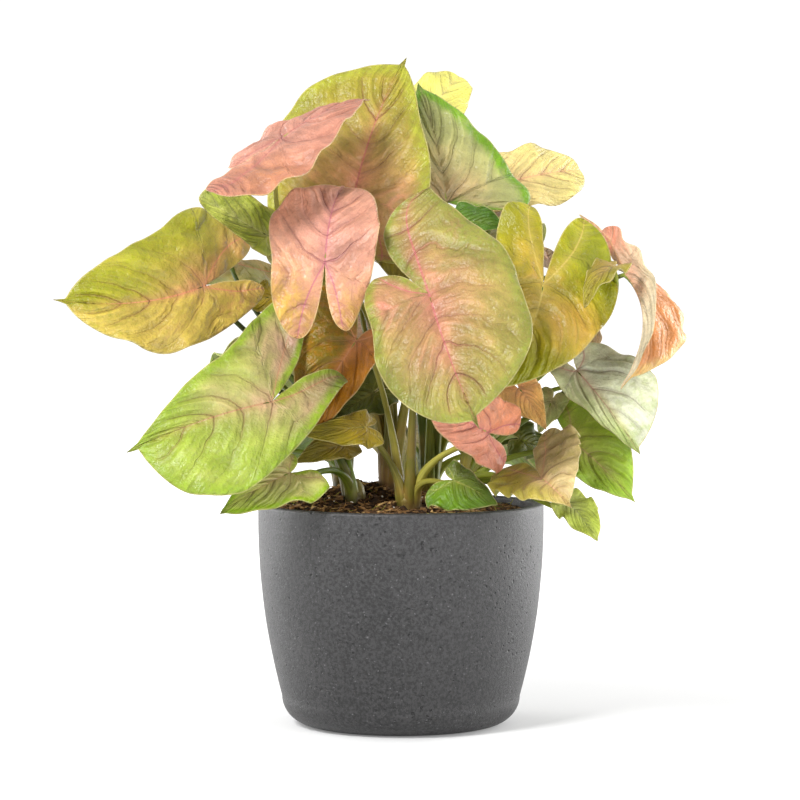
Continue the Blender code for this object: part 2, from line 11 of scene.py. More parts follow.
import logging
import math
from dataclasses import dataclass
from enum import Enum
from typing import Any

import bpy
import numpy as np
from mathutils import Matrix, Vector, noise

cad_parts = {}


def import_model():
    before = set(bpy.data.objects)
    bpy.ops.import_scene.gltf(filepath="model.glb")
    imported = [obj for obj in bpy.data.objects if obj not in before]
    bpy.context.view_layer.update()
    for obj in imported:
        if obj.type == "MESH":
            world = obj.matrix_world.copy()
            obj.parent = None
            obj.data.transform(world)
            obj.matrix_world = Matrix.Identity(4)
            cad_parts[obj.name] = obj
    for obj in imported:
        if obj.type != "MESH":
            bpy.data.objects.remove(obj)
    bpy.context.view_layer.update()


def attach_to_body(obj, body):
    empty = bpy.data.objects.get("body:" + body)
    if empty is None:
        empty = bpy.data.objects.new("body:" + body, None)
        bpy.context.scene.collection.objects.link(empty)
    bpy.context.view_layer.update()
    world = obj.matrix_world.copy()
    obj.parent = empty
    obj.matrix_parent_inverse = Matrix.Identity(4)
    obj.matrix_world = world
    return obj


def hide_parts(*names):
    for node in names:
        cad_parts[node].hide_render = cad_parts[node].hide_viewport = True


LOG = logging.getLogger("arrowhead_plant")

MM = 0.001

Rgb = tuple[int, int, int]
Place = tuple[float, float, float]

# Pot
POT_HEIGHT = 116.0
POT_RADIUS = 75.0
POT_FULL_HEIGHT = 107.0  # above this the side is upright
POT_TAPER = 16.8  # the side draws in by this much down to the floor
POT_CORNER_HEIGHT = 15.0
POT_BASE_RADIUS = 46.5
POT_WALL = 5.0
POT_FLOOR = 8.0
POT_LIP_ROUND = 1.6
POT_SEGMENTS = 256

# Soil
SOIL_EDGE = 112.0
SOIL_RISE = 14.0
SOIL_PEAK = (-18.0, 14.0)
SOIL_SPREAD = 42.0
SOIL_LUMP = 1.1
SOIL_WAVES = (0.31, 0.27)  # turns of the lumps, in radians per millimetre along X and Y
SOIL_CROSS_WAVES = (0.55, 0.43)
SOIL_WALL_GAP = 0.35
SOIL_SEGMENTS = 160
SOIL_RINGS = 64

# Plant
GAP = 0.3
BLADE_THICKNESS = 0.7
EDGE_THICKNESS = 0.4
BLADE_ROWS = 64  # grid from lobe to tip, and from midrib to margin
BLADE_COLUMNS = 20
SMALL_BLADE = 22.0  # a blade narrower than this on both sides has a coarser grid
SMALL_ROWS = 38
SMALL_COLUMNS = 12
LOBE_SHARE = 0.34  # the rows behind the petiole
DRIP_SHARE = 0.05  # the narrow tip's part of the blade's length
VEIN_SPACING = 15.0  # between side veins, where they leave the midrib
VEIN_SWEEP = 1.7  # how far a side vein runs towards the tip, in spacings
QUILT = 0.14  # swell between side veins, as a share of their spacing
BILLOW = 1.5  # height of the broad unevenness of a blade
RAGGED = 0.045  # unevenness of the margin, as a share of the half's width
PETIOLE_SIDES = 14
PETIOLE_STEPS = 26
FOOT_DEPTH = 7.0  # how far a sheath goes down into the soil
FOOT_RINGS = 2
PETIOLE_TIP_RADIUS = 1.1
PETIOLE_BASE_RADIUS = 2.0
SHEATH_RADIUS = 3.2
SHEATH_SHARE = 1 / 3  # the sheath's part of the petiole
PETIOLE_START_DEPTH = 8.0  # below its shoot's crown
PETIOLE_START_OUT = 0.6  # off the shoot's middle, as a share of its radius
PETIOLE_RISE = 0.45  # length of the petiole's first bend, as a share of its span
PETIOLE_OUT = 0.12  # lean of the first bend, as a share of the way out
STEM_SHARES = (1.0, 0.95, 0.8, 0.35)
STEM_SHOULDER = 0.6  # height of the shoulder, as a share of the rise
STEM_SIDES = 28
ROOT_DEPTH = 24.0


@dataclass(frozen=True)
class Half:
    """One half of a blade, in flat sizes, with turns in degrees."""

    width: float  # furthest reach of the margin from the midrib
    back: float  # how far the lobe reaches behind the petiole
    out: float  # how far the lobe's end stands off the midrib's line
    fold: float = 10.0  # turn about the midrib, edge towards the face
    roll: float = -20.0  # further turn from the midrib to the margin
    lift: float = 0.0  # the lobe's end above the blade, towards the face
    widest: float = 0.34  # where the reach is greatest, as a share from lobe to tip
    blunt: float = 0.8  # exponent of the margin's fall to the tip: small is blunt
    belly: float = 1.0  # swell of the lobe's inner edge into the notch
    sharp: float = 1.0  # how pointed the lobe's end is


@dataclass(frozen=True)
class Leaf:
    """A blade on its petiole, placed by where the petiole meets it and by its tip."""

    name: str
    shoot: str
    attach: Place
    tip: Place
    face: Place  # direction that the upper face looks in
    left: Half
    right: Half
    slot: str
    look: str
    arch: float = 5.0  # rise of the midrib's middle, towards the face
    side: float = 0.0  # sideways bend of the midrib's middle
    twist: float = 0.0  # turn of the blade about its midrib at the tip
    drip: float = 1.6  # half width of the narrow tip, or 0 for a round end
    wave: float = 2.2  # height of the margin's waves, and how many there are
    waves: float = 2.4
    phase: float = 0.0
    reach: float = 0.4  # length of the petiole's last bend, as a share of its span
    lean: float = 0.45  # how far the petiole's end leans along the midrib
    via: Place = (0.0, 0.0, 0.0)  # shift of the petiole's middle


@dataclass(frozen=True)
class Shoot:
    """A short stem that several petioles sheathe and leave."""

    name: str
    place: tuple[float, float]
    radius: float
    rise: float  # height of its crown above the soil
    tone: str


class Zone(Enum):
    """What a patch on a blade brings out."""

    FLUSH = 0
    SECOND = 1
    # painted shade: a patch that darkens the blade's colour where shade falls on it
    PAINTED_SHADE = 2


@dataclass(frozen=True)
class Patch:
    """A soft round patch on a blade, placed on the flat blade: across to the right, along to the tip."""

    zone: Zone
    across: float
    along: float
    size: float
    strength: float = 0.8


@dataclass(frozen=True)
class Look:
    """A blade's colours, as sRGB bytes, and where they show."""

    field: Rgb
    flush: Rgb  # round the petiole, and in patches
    second: Rgb  # on one half, in a band along the margin, and in patches
    rib: Rgb
    under: Rgb
    flush_size: float = 0.3  # reach of the flush round the petiole, as a share of the length
    flush_strength: float = 0.7
    on_left: float = 0.0
    on_right: float = 0.0
    band: float = 0.0  # width of the band along the margin
    vein: float = 0.5  # how strongly the side veins take the rib's colour
    patches: tuple[Patch, ...] = ()


SHOOTS = (
    Shoot("front_shoot", (4.0, -22.0), 7.0, 12.0, "olive"),
    Shoot("left_shoot", (-24.0, -14.0), 6.0, 10.0, "dark"),
    Shoot("middle_shoot", (-6.0, 10.0), 6.5, 16.0, "olive"),
    Shoot("right_shoot", (28.0, -8.0), 6.0, 10.0, "green"),
    Shoot("back_shoot", (14.0, 34.0), 6.5, 12.0, "green"),
    Shoot("back_left_shoot", (-30.0, 30.0), 6.0, 12.0, "dark"),
)

LOOKS = {
    "tall": Look((160, 156, 64), (206, 148, 124), (170, 172, 74), (196, 110, 100), (160, 166, 84),
                 flush_size=0.34, band=9, vein=0.4,
                 patches=(Patch(Zone.FLUSH, 22, 0, 24, 0.7), Patch(Zone.FLUSH, -18, 8, 18, 0.5),
                          Patch(Zone.FLUSH, 10, 30, 14, 0.35))),
    "far_left": Look((156, 158, 58), (212, 158, 124), (196, 176, 96), (216, 140, 104), (168, 176, 84),
                     flush_size=0.24, on_left=0.8, vein=0.35,
                     patches=(Patch(Zone.FLUSH, -16, -16, 24, 0.9), Patch(Zone.FLUSH, 12, -24, 20, 0.5),
                              Patch(Zone.FLUSH, -18, 26, 20, 0.6))),
    "striped": Look((128, 150, 44), (196, 200, 100), (206, 210, 112), (216, 216, 140), (130, 156, 54),
                    flush_size=0.2, band=3, vein=0.7, patches=(Patch(Zone.SECOND, 0, 30, 20, 0.8),)),
    "pink_high": Look((194, 138, 118), (216, 164, 146), (206, 148, 106), (190, 112, 104), (186, 160, 104),
                      flush_size=0.4, vein=0.6, patches=(Patch(Zone.PAINTED_SHADE, 0, -6, 8, 0.2),
                                                         Patch(Zone.SECOND, 20, -30, 20, 0.5))),
    "pink_front": Look((220, 166, 142), (228, 172, 156), (200, 164, 92), (190, 108, 122), (186, 166, 96),
                       flush_size=0.4, vein=0.35,
                       patches=(Patch(Zone.SECOND, -20, -28, 22, 1.0), Patch(Zone.SECOND, 18, -26, 18, 0.9),
                                Patch(Zone.PAINTED_SHADE, 14, 8, 10, 0.2), Patch(Zone.PAINTED_SHADE, 0, -6, 5, 0.4))),
    "centre": Look((156, 152, 80), (202, 138, 124), (142, 146, 70), (200, 108, 108), (160, 166, 90),
                   flush_size=0.36, band=8, vein=0.35,
                   patches=(Patch(Zone.FLUSH, 8, 34, 14, 0.6), Patch(Zone.FLUSH, -14, -6, 18, 0.6),
                            Patch(Zone.FLUSH, 24, 0, 18, 0.7), Patch(Zone.SECOND, -34, -30, 26, 0.9),
                            Patch(Zone.FLUSH, -22, -34, 8, 0.5))),
    "right_front": Look((156, 160, 40), (188, 146, 88), (150, 156, 44), (210, 186, 96), (160, 168, 70),
                        flush_size=0.36, vein=0.4,
                        patches=(Patch(Zone.FLUSH, -18, 14, 22, 0.8), Patch(Zone.FLUSH, 12, 18, 18, 0.6),
                                 Patch(Zone.SECOND, -20, -26, 22, 0.8))),
    "drooping": Look((226, 160, 110), (230, 142, 112), (226, 190, 128), (230, 182, 130), (226, 212, 176),
                     flush_size=0.15, band=6, vein=0.35,
                     patches=(Patch(Zone.FLUSH, -18, -30, 20, 1.0), Patch(Zone.FLUSH, 10, -20, 16, 1.0),
                              Patch(Zone.PAINTED_SHADE, -4, -44, 10, 0.6))),
    "pale": Look((234, 222, 150), (236, 204, 158), (230, 222, 132), (228, 164, 130), (234, 226, 150),
                 flush_size=0.4, vein=0.5),
    "grey_high": Look((172, 176, 116), (196, 158, 124), (112, 154, 40), (186, 166, 116), (130, 158, 70),
                      flush_size=0.26, band=10, vein=0.3, patches=(Patch(Zone.FLUSH, 8, 6, 16, 0.6),)),
    "bright": Look((72, 116, 8), (100, 140, 20), (110, 150, 30), (140, 160, 60), (86, 96, 20), vein=0.3),
    "yellow": Look((232, 226, 132), (236, 226, 146), (212, 212, 108), (232, 212, 140), (228, 226, 134), vein=0.25),
    "low_left": Look((160, 178, 82), (202, 168, 146), (152, 176, 74), (190, 136, 100), (156, 176, 80),
                     flush_size=0.2, band=8, vein=0.35,
                     patches=(Patch(Zone.FLUSH, 22, -24, 26, 1.0), Patch(Zone.FLUSH, -14, -30, 26, 0.9),
                              Patch(Zone.FLUSH, 8, 22, 16, 0.4), Patch(Zone.PAINTED_SHADE, 34, -34, 12, 0.35))),
    "orange_inner": Look((200, 136, 62), (228, 156, 120), (132, 116, 30), (232, 168, 116), (170, 140, 60),
                         flush_size=0.2, vein=0.5, on_left=0.1, on_right=0.8,
                         patches=(Patch(Zone.FLUSH, -10, -16, 14, 0.9),)),
    "olive": Look((158, 146, 44), (170, 136, 60), (130, 134, 40), (186, 168, 84), (150, 148, 60), vein=0.35),
    "dark_olive": Look((132, 122, 36), (150, 118, 48), (104, 108, 26), (164, 146, 70), (124, 118, 40), vein=0.3),
    "rim_left": Look((170, 192, 84), (214, 190, 150), (150, 182, 52), (190, 160, 110), (150, 170, 80),
                     flush_size=0.4, band=4, vein=0.4),
    "pink_low": Look((236, 168, 142), (242, 178, 156), (252, 180, 146), (206, 110, 112), (214, 158, 118),
                     flush_size=0.4, on_right=0.9, vein=0.4),
    "orange_low": Look((252, 206, 136), (250, 184, 142), (250, 210, 142), (244, 184, 130), (240, 200, 130),
                       vein=0.3),
    "heart": Look((190, 178, 88), (218, 188, 152), (210, 190, 142), (222, 168, 132), (160, 160, 74),
                  flush_size=0.25, on_left=0.8, vein=0.45,
                  patches=(Patch(Zone.PAINTED_SHADE, -10, -24, 14, 0.4), Patch(Zone.FLUSH, -12, 16, 18, 0.5))),
    "fresh": Look((100, 138, 30), (120, 140, 46), (78, 84, 18), (166, 172, 84), (120, 144, 50),
                  on_left=0.7, vein=0.4),
    "green_right": Look((170, 206, 78), (204, 202, 124), (180, 214, 98), (198, 170, 116), (146, 172, 74),
                        flush_size=0.4, band=5, vein=0.5),
    "silver": Look((196, 218, 124), (244, 238, 216), (238, 242, 216), (206, 154, 140), (210, 220, 170),
                   flush_size=0.5, on_left=0.95, vein=0.35,
                   patches=(Patch(Zone.PAINTED_SHADE, 8, -2, 8, 0.2),)),
    "lime_small": Look((212, 228, 110), (226, 230, 166), (228, 234, 166), (214, 220, 150), (210, 218, 160), vein=0.3),
    "dark": Look((84, 98, 14), (96, 96, 22), (110, 120, 32), (130, 130, 54), (90, 100, 30), vein=0.3),
    "hook": Look((160, 152, 54), (178, 140, 96), (156, 156, 62), (186, 160, 90), (146, 140, 60),
                 on_left=0.4, vein=0.3),
    "grey_low": Look((176, 186, 118), (190, 176, 134), (140, 152, 84), (190, 174, 124), (154, 164, 104), vein=0.3),
}


LEAVES = (
    Leaf("leaf_tall", "middle_shoot", (-25, -8, 275), (3, 28, 351), (-0.1, -1, 0.4),
         Half(50, 42, 24, widest=0.52, blunt=0.75), Half(39, 28, 20, blunt=0.8), "leaf_lime", "tall", arch=5, side=-2),
    Leaf("leaf_far_left", "left_shoot", (-101, -30, 230), (-175, -62, 223), (0, -1, 0.5),
         Half(29, 34, 16, widest=0.55, blunt=0.6), Half(42, 33, 12, widest=0.37, blunt=0.75), "leaf_lime", "far_left",
         arch=4, side=-8),
    Leaf("leaf_small_curled", "left_shoot", (-69, -22, 256), (-102, -50, 276), (-0.4, -1, 0.2),
         Half(8.5, 8, 5, widest=0.35, blunt=0.35), Half(13, 8, 6, widest=0.55, blunt=0.35), "leaf_green", "striped",
         arch=4, drip=0),
    Leaf("leaf_pink_high", "middle_shoot", (-60, -52, 305), (-16, -8, 327), (0, -0.55, 1),
         Half(25, 30, 2, fold=-15, belly=0), Half(31, 57, 5, fold=12, widest=0.32, lift=6, belly=4), "leaf_pink", "pink_high",
         arch=4, via=(4, 12, 0)),
    Leaf("leaf_pink_front", "middle_shoot", (-38, -75, 242), (-29, -39, 281), (0, -1, 0.3),
         Half(29, 35, 12, widest=0.45, blunt=0.5, belly=2.5, sharp=1.5), Half(25, 28, 13, blunt=0.35, widest=0.6, belly=2, sharp=1.3),
         "leaf_pink", "pink_front",
         arch=8, side=-2, via=(10, 18, 14), lean=0.15),
    Leaf("leaf_centre", "front_shoot", (14, -88, 226), (38, -118, 161), (0, -1, 0.35),
         Half(48, 61, 15, widest=0.56, blunt=0.75, belly=22, sharp=1.25), Half(34, 19, 24, widest=0.6, blunt=0.45),
         "leaf_cream", "centre", arch=5, side=2),
    Leaf("leaf_right_front", "right_shoot", (72, -52, 231), (43, -78, 175), (0.1, -1, 0.3),
         Half(37, 46, 17, widest=0.4), Half(27, 40, 10, blunt=0.7), "leaf_lime", "right_front", arch=4, side=-5),
    Leaf("leaf_right_drooping", "right_shoot", (116, -30, 236), (111, -62, 178), (0.75, -0.65, 0.2),
         Half(41, 50, 6, widest=0.45, blunt=0.9), Half(14, 26, 5, fold=70, roll=0), "leaf_orange", "drooping",
         arch=13, via=(0, 21, 0), wave=1.6, waves=3.6),
    Leaf("leaf_backlit_right", "back_shoot", (41, 45, 280), (98, 80, 293), (0, -1, 0.5),
         Half(20, 16, 8, widest=0.6, blunt=0.4), Half(19, 14, 8, widest=0.65, blunt=0.4), "leaf_cream", "pale",
         arch=4, drip=0),
    Leaf("leaf_grey_high", "back_shoot", (24, 10, 274), (9, 52, 339), (0.3, -1, 0.4),
         Half(22, 12, 12), Half(40, 6, 30, widest=0.3, blunt=0.9), "leaf_silver", "grey_high", arch=5),
    Leaf("leaf_bright_curl", "middle_shoot", (24, -12, 262), (54, -24, 260), (0, -1, 0.5),
         Half(11, 10, 6, widest=0.5, blunt=0.5), Half(13, 10, 8), "leaf_green", "bright", arch=4),
    Leaf("leaf_backlit_top", "back_shoot", (13, 48, 320), (32, 78, 344), (0, -1, 0.4),
         Half(16, 10, 6, widest=0.6, blunt=0.4), Half(16, 10, 8, widest=0.5, blunt=0.4), "leaf_cream", "yellow",
         arch=2, drip=0),
    Leaf("leaf_low_left", "left_shoot", (-65, -68, 172), (-136, -90, 148), (0, -1, 0.5),
         Half(43, 40, 1, widest=0.6, blunt=0.6, belly=12, lift=7, sharp=1.4),
         Half(50, 34, 46, widest=0.2, blunt=0.85, belly=0, sharp=1.6),
         "leaf_lime", "low_left", arch=6),
    Leaf("leaf_orange_inner", "front_shoot", (-23, -33, 202), (-51, -47, 156), (0, -1, 0.3),
         Half(15, 14, 8, widest=0.55, blunt=0.5), Half(30, 20, 20, blunt=0.7), "leaf_orange", "orange_inner", arch=4),
    Leaf("leaf_olive_low", "front_shoot", (-18, -41, 158), (-51, -58, 155), (0, -1, 0.3),
         Half(10, 8, 6, blunt=0.6), Half(8, 8, 4, widest=0.3, blunt=0.7), "leaf_olive", "olive", arch=2),
    Leaf("leaf_olive_lowest", "left_shoot", (-29, -31, 149), (-54, -46, 140), (0, -1, 0.3),
         Half(8, 8, 4), Half(10, 8, 4), "leaf_olive", "dark_olive", arch=2),
    Leaf("leaf_rim_left", "left_shoot", (-56, -66, 136), (-90, -88, 117), (0, -1, 0.6),
         Half(18, 14, 8, blunt=0.6), Half(12, 10, 8), "leaf_green", "rim_left", arch=3),
    Leaf("leaf_pink_low", "front_shoot", (44, -59, 156), (12, -76, 170), (0, -1, 0.4),
         Half(17, 17, 8, widest=0.45, blunt=0.4), Half(20, 20, 12, widest=0.35), "leaf_pink", "pink_low", arch=3),
    Leaf("leaf_orange_low", "right_shoot", (61, -24, 177), (74, -44, 157), (0, -1, 0.4),
         Half(10, 8, 5), Half(14, 12, 8), "leaf_orange", "orange_low", arch=3),
    Leaf("leaf_heart_low", "right_shoot", (70, -78, 134), (84, -100, 121), (0, -1, 0.4),
         Half(30, 42, 26, widest=0.45), Half(20, 36, 8, widest=0.4, belly=8), "leaf_olive", "heart", arch=3),
    Leaf("leaf_rim_green", "front_shoot", (27, -50, 131), (49, -56, 119), (0, -1, 0.5),
         Half(9, 8, 6), Half(18, 9, 8), "leaf_green", "fresh", arch=3),
    Leaf("leaf_green_right", "right_shoot", (88, -28, 150), (119, -52, 120), (0, -1, 0.5),
         Half(26, 26, 14, widest=0.4), Half(14, 12, 8, widest=0.5), "leaf_green", "green_right", arch=4),
    Leaf("leaf_silver_right", "right_shoot", (91, -22, 186), (122, -46, 144), (0, -1, 0.5),
         Half(30, 13, 12, widest=0.55, blunt=0.75), Half(12, 10, 6, blunt=0.7), "leaf_silver", "silver", arch=4, lean=0.2),
    Leaf("leaf_over_rim", "right_shoot", (84, -62, 121), (98, -84, 103), (0, -1, 0.6),
         Half(10, 10, 5, widest=0.5, blunt=0.6), Half(9, 10, 4, widest=0.5), "leaf_lime", "lime_small", arch=3),
    Leaf("leaf_dark_right", "right_shoot", (63, 6, 149), (80, 24, 140), (0, -1, 0.5),
         Half(11, 8, 6), Half(10, 8, 5), "leaf_dark_green", "dark", arch=2),
    Leaf("leaf_inner_olive", "middle_shoot", (-4, 12, 252), (2, -2, 226), (0, -1, 0.4),
         Half(15, 22, 8), Half(15, 20, 8), "leaf_olive", "dark_olive", arch=2),
    Leaf("leaf_inner_left", "back_left_shoot", (-68, 6, 224), (-90, -6, 216), (0, -1, 0.6),
         Half(8, 7, 5), Half(9, 7, 5), "leaf_lime", "olive", arch=2),
    Leaf("leaf_inner_dark", "middle_shoot", (-15, -9, 174), (-35, -7, 160), (0, -1, 0.5),
         Half(12, 10, 6), Half(12, 10, 6), "leaf_dark_green", "dark", arch=2),
    Leaf("leaf_back_top", "middle_shoot", (-30, 50, 302), (-44, 84, 262), (0, 1, 0.5),
         Half(27, 26, 16), Half(30, 26, 14), "leaf_lime", "tall", arch=6),
    Leaf("leaf_back_high", "back_left_shoot", (-40, 80, 258), (-56, 126, 212), (-0.2, 1, 0.5),
         Half(38, 30, 18), Half(36, 34, 16), "leaf_silver", "right_front", arch=7),
    Leaf("leaf_back_high_right", "back_shoot", (43, 78, 256), (65, 126, 214), (0.3, 1, 0.5),
         Half(36, 34, 16), Half(38, 30, 18), "leaf_lime", "low_left", arch=7),
    Leaf("leaf_back_far_left", "back_left_shoot", (-92, 36, 244), (-146, 66, 226), (-0.3, 1, 0.6),
         Half(26, 24, 14), Half(24, 26, 12), "leaf_cream", "far_left", arch=5),
    Leaf("leaf_back_middle", "back_left_shoot", (-14, 96, 206), (-18, 146, 160), (0, 1, 0.5),
         Half(36, 32, 16), Half(36, 32, 16), "leaf_pink", "pink_front", arch=7),
    Leaf("leaf_back_left", "back_left_shoot", (-72, 62, 186), (-112, 96, 150), (-0.5, 1, 0.5),
         Half(30, 28, 14), Half(30, 26, 14), "leaf_green", "low_left", arch=6),
    Leaf("leaf_back_right", "back_shoot", (58, 70, 206), (92, 112, 182), (0.5, 1, 0.5),
         Half(26, 26, 12), Half(26, 24, 12), "leaf_cream", "centre", arch=6),
    Leaf("leaf_back_low_left", "back_left_shoot", (-50, 74, 150), (-78, 108, 120), (-0.3, 1, 0.6),
         Half(24, 22, 10), Half(24, 22, 10), "leaf_olive", "fresh", arch=4),
    Leaf("leaf_back_low", "back_shoot", (4, 88, 150), (6, 130, 114), (0, 1, 0.6),
         Half(28, 26, 12), Half(28, 26, 12), "leaf_lime", "heart", arch=5),
    Leaf("leaf_back_low_right", "back_shoot", (52, 66, 146), (84, 96, 118), (0.4, 1, 0.6),
         Half(22, 20, 10), Half(22, 20, 10), "leaf_green", "green_right", arch=4),
    Leaf("leaf_back_side", "back_left_shoot", (-84, 24, 180), (-128, 40, 160), (-0.4, -0.2, 1),
         Half(22, 22, 12), Half(22, 22, 12), "leaf_silver", "pink_high", arch=5),
    Leaf("leaf_right_hook", "right_shoot", (107, -53, 240), (92, -68, 219), (-0.5, -1, 0.6),
         Half(8, 7, 4), Half(9, 8, 5), "leaf_green", "hook", arch=5, via=(0, 15, 0)),
    Leaf("leaf_grey_low", "right_shoot", (78.5, -12.5, 170), (71.5, -20.5, 154), (0, -1, 0.4),
         Half(8, 7, 4), Half(8, 7, 4), "leaf_silver", "grey_low", arch=1),
    Leaf("leaf_side_right_high", "right_shoot", (86, 24, 236), (102, 42, 190), (1, 0.2, 0.5),
         Half(28, 26, 14), Half(30, 24, 14), "leaf_pink", "pink_high", arch=6),
    Leaf("leaf_side_right_low", "right_shoot", (96, 22, 178), (116, 38, 136), (1, 0.1, 0.5),
         Half(26, 22, 12), Half(24, 24, 12), "leaf_lime", "low_left", arch=5),
    Leaf("leaf_side_right_top", "back_shoot", (48, 16, 262), (76, 24, 253), (0.2, 0.2, 1),
         Half(18, 16, 8), Half(18, 16, 8), "leaf_silver", "right_front", arch=4),
    Leaf("leaf_side_left_high", "left_shoot", (-88, -18, 183), (-104, -12, 147), (-1, -0.1, 0.5),
         Half(18, 18, 10), Half(18, 18, 10), "leaf_pink", "orange_low", arch=5),
    Leaf("leaf_side_left_low", "left_shoot", (-78, 22, 148), (-100, 36, 126), (-1, 0, 0.8),
         Half(18, 16, 9), Half(20, 18, 9), "leaf_lime", "fresh", arch=3),
)


def unit(vector: np.ndarray) -> np.ndarray:
    """The vector at length one."""
    return vector / np.linalg.norm(vector)


def smooth(low: float, high: float, value: np.ndarray) -> np.ndarray:
    """A smooth step from 0 at low to 1 at high."""
    share = np.clip((value - low) / (high - low), 0, 1)
    return share * share * (3 - 2 * share)


def margin(half: Half, drip: float, along: np.ndarray) -> np.ndarray:
    """The flat half's reach from the midrib, from its lobe's end (0) to its tip (1)."""
    body = np.clip(along / (1 - DRIP_SHARE * (drip > 0)), 0, 1)
    round_end = half.sharp * half.blunt * half.widest / (1 - half.widest)
    rise = (body / half.widest) ** round_end
    fall = ((1 - body) / (1 - half.widest)) ** half.blunt
    start = half.out * (1 - body) ** 3
    reach = start + (half.width - half.out * (1 - half.widest) ** 3) * rise * fall
    return np.hypot(reach, drip * np.clip((1 - along) / DRIP_SHARE, 0, 1) * along)


@dataclass
class FlatHalf:
    """One flat half as grids: rows from lobe to tip, columns from midrib to margin."""

    x: np.ndarray  # off the midrib
    y: np.ndarray  # along the midrib
    share: np.ndarray  # 0 at the midrib or the notch, 1 at the margin
    lobe: np.ndarray  # 1 at the lobe's end, 0 from the petiole on
    past: np.ndarray  # 0 up to the petiole, 1 at the tip
    wide: np.ndarray  # length of the row


def flat_half(
    half: Half, length: float, drip: float, rows: int, columns: int, seed: float
) -> FlatHalf:
    """Lays a grid over one flat half.

    Args:
        half: the half's sizes.
        length: from the petiole to the tip.
        drip: half width of the narrow tip.
        rows: steps from the lobe's end to the tip.
        columns: steps from the midrib or the notch to the margin.
        seed: sets the margin's unevenness.

    Returns:
        The grids of the half.
    """
    row = np.arange(rows + 1)
    lobe_rows = round(rows * LOBE_SHARE)
    along = (1 - np.cos(math.pi * row / rows)) / 2
    outer_y = -half.back + along * (half.back + length)
    ragged = np.sin(8.3 * along + seed) + 0.6 * np.sin(15.7 * along + 2.3 * seed)
    outer_x = margin(half, drip, along) * (1 + RAGGED * ragged * 4 * along * (1 - along))
    lobe = np.clip(row / lobe_rows, 0, 1)
    inner_x = half.out * (1 - lobe) - half.belly * 4 * lobe * (1 - lobe)
    past = np.clip((row - lobe_rows) / (rows - lobe_rows), 0, 1)
    inner_y = np.where(row < lobe_rows, -half.back * (1 - lobe**2), length * past)
    share = np.linspace(0, 1, columns + 1)[None, :] ** 1.2
    full = np.ones((rows + 1, columns + 1))
    x = inner_x[:, None] + (outer_x - inner_x)[:, None] * share
    y = inner_y[:, None] + (outer_y - inner_y)[:, None] * share
    wide = np.hypot(outer_x - inner_x, outer_y - inner_y)[:, None] * full
    return FlatHalf(x, y, share * full, (1 - lobe)[:, None] * full, past[:, None] * full, wide)


class Blade:
    """Bends a leaf's flat shape into its place, with its veins and waves."""

    def __init__(self, leaf: Leaf) -> None:
        self.leaf = leaf
        self.attach = np.array(leaf.attach, float)
        chord = np.array(leaf.tip, float) - self.attach
        self.length = float(np.linalg.norm(chord))
        self.along = unit(chord)
        face = np.array(leaf.face, float)
        self.normal = unit(face - self.along * (face @ self.along))
        self.across = np.cross(self.along, self.normal)

    def frame(self, y: np.ndarray) -> tuple[np.ndarray, np.ndarray, np.ndarray]:
        """The midrib's place, and the directions across and up from it, at each y."""
        leaf = self.leaf
        share = y / self.length
        bow = np.where(share > 0, 4 * share * (1 - share), 4 * share)[..., None]
        slope = 4 * leaf.arch / self.length * (1 - 2 * np.clip(share, 0, 1))[..., None]
        place = self.attach + self.along * y[..., None]
        place = place + bow * (leaf.arch * self.normal + leaf.side * self.across)
        up = (self.normal - slope * self.along) / np.sqrt(1 + slope**2)
        turn = math.radians(leaf.twist) * share[..., None]
        across = self.across * np.cos(turn) + up * np.sin(turn)
        up = up * np.cos(turn) - self.across * np.sin(turn)
        return place, across, up

    def bend(self, half: Half, sign: float, x: np.ndarray, y: np.ndarray) -> np.ndarray:
        """Places of the flat points (x, y) of one half; sign is 1 on the right."""
        leaf = self.leaf
        place, across, up = self.frame(y)
        turn = math.radians(half.roll) * x / half.width
        middle = math.radians(half.fold) + turn / 2
        reach = x * np.sinc(turn / 2 / math.pi)
        height = reach * np.sin(middle)
        height = height + half.lift * np.clip(-y / half.back, 0, 1) ** 2
        ripple = np.sin(2 * math.pi * (leaf.waves * y / self.length + leaf.phase + 0.3 * sign))
        height = height + leaf.wave * ripple * (x / half.width) ** 2
        side = sign * reach * np.cos(middle)
        return place + across * side[..., None] + up * height[..., None]


def vein_fields(flat: FlatHalf, length: float, back: float) -> tuple[np.ndarray, ...]:
    """Where the veins run on a flat half.

    Args:
        flat: the half's grids.
        length: from the petiole to the tip.
        back: from the petiole to the lobe's end.

    Returns:
        The side veins' phase (whole on a vein), their spacing, and the distance
        to the nearest rib: the midrib, or the rib that runs down the lobe.
    """
    veins = max(4, round(length / VEIN_SPACING))
    lobe_veins = max(2, round(back / VEIN_SPACING) + 1)
    rib_share = 0.45 * (1 - np.exp(-4 * flat.lobe))
    off_rib = flat.share - rib_share
    turn = smooth(0.0, 0.5, flat.lobe)
    sweep = VEIN_SWEEP * np.minimum(1, 2 * (1 - flat.past)) * ((1 - turn) - 0.7 * turn) * np.abs(off_rib) ** 1.25
    phase = veins * flat.past - lobe_veins * flat.lobe - sweep
    spacing = np.where(flat.lobe > 0, back / lobe_veins, length / veins)
    return phase, spacing, off_rib * flat.wide


@dataclass
class Sheet:
    """A thin surface: its places, faces and what its finish reads at each point."""

    places: np.ndarray
    faces: list[tuple[int, ...]]
    veins: np.ndarray  # phase, distance to the rib, distance to the margin
    sizes: np.ndarray  # spacing, half width of the rib, 1 on the upper side
    zones: np.ndarray  # flush, second colour, painted shade
    flat: np.ndarray  # the flat place, for patterns


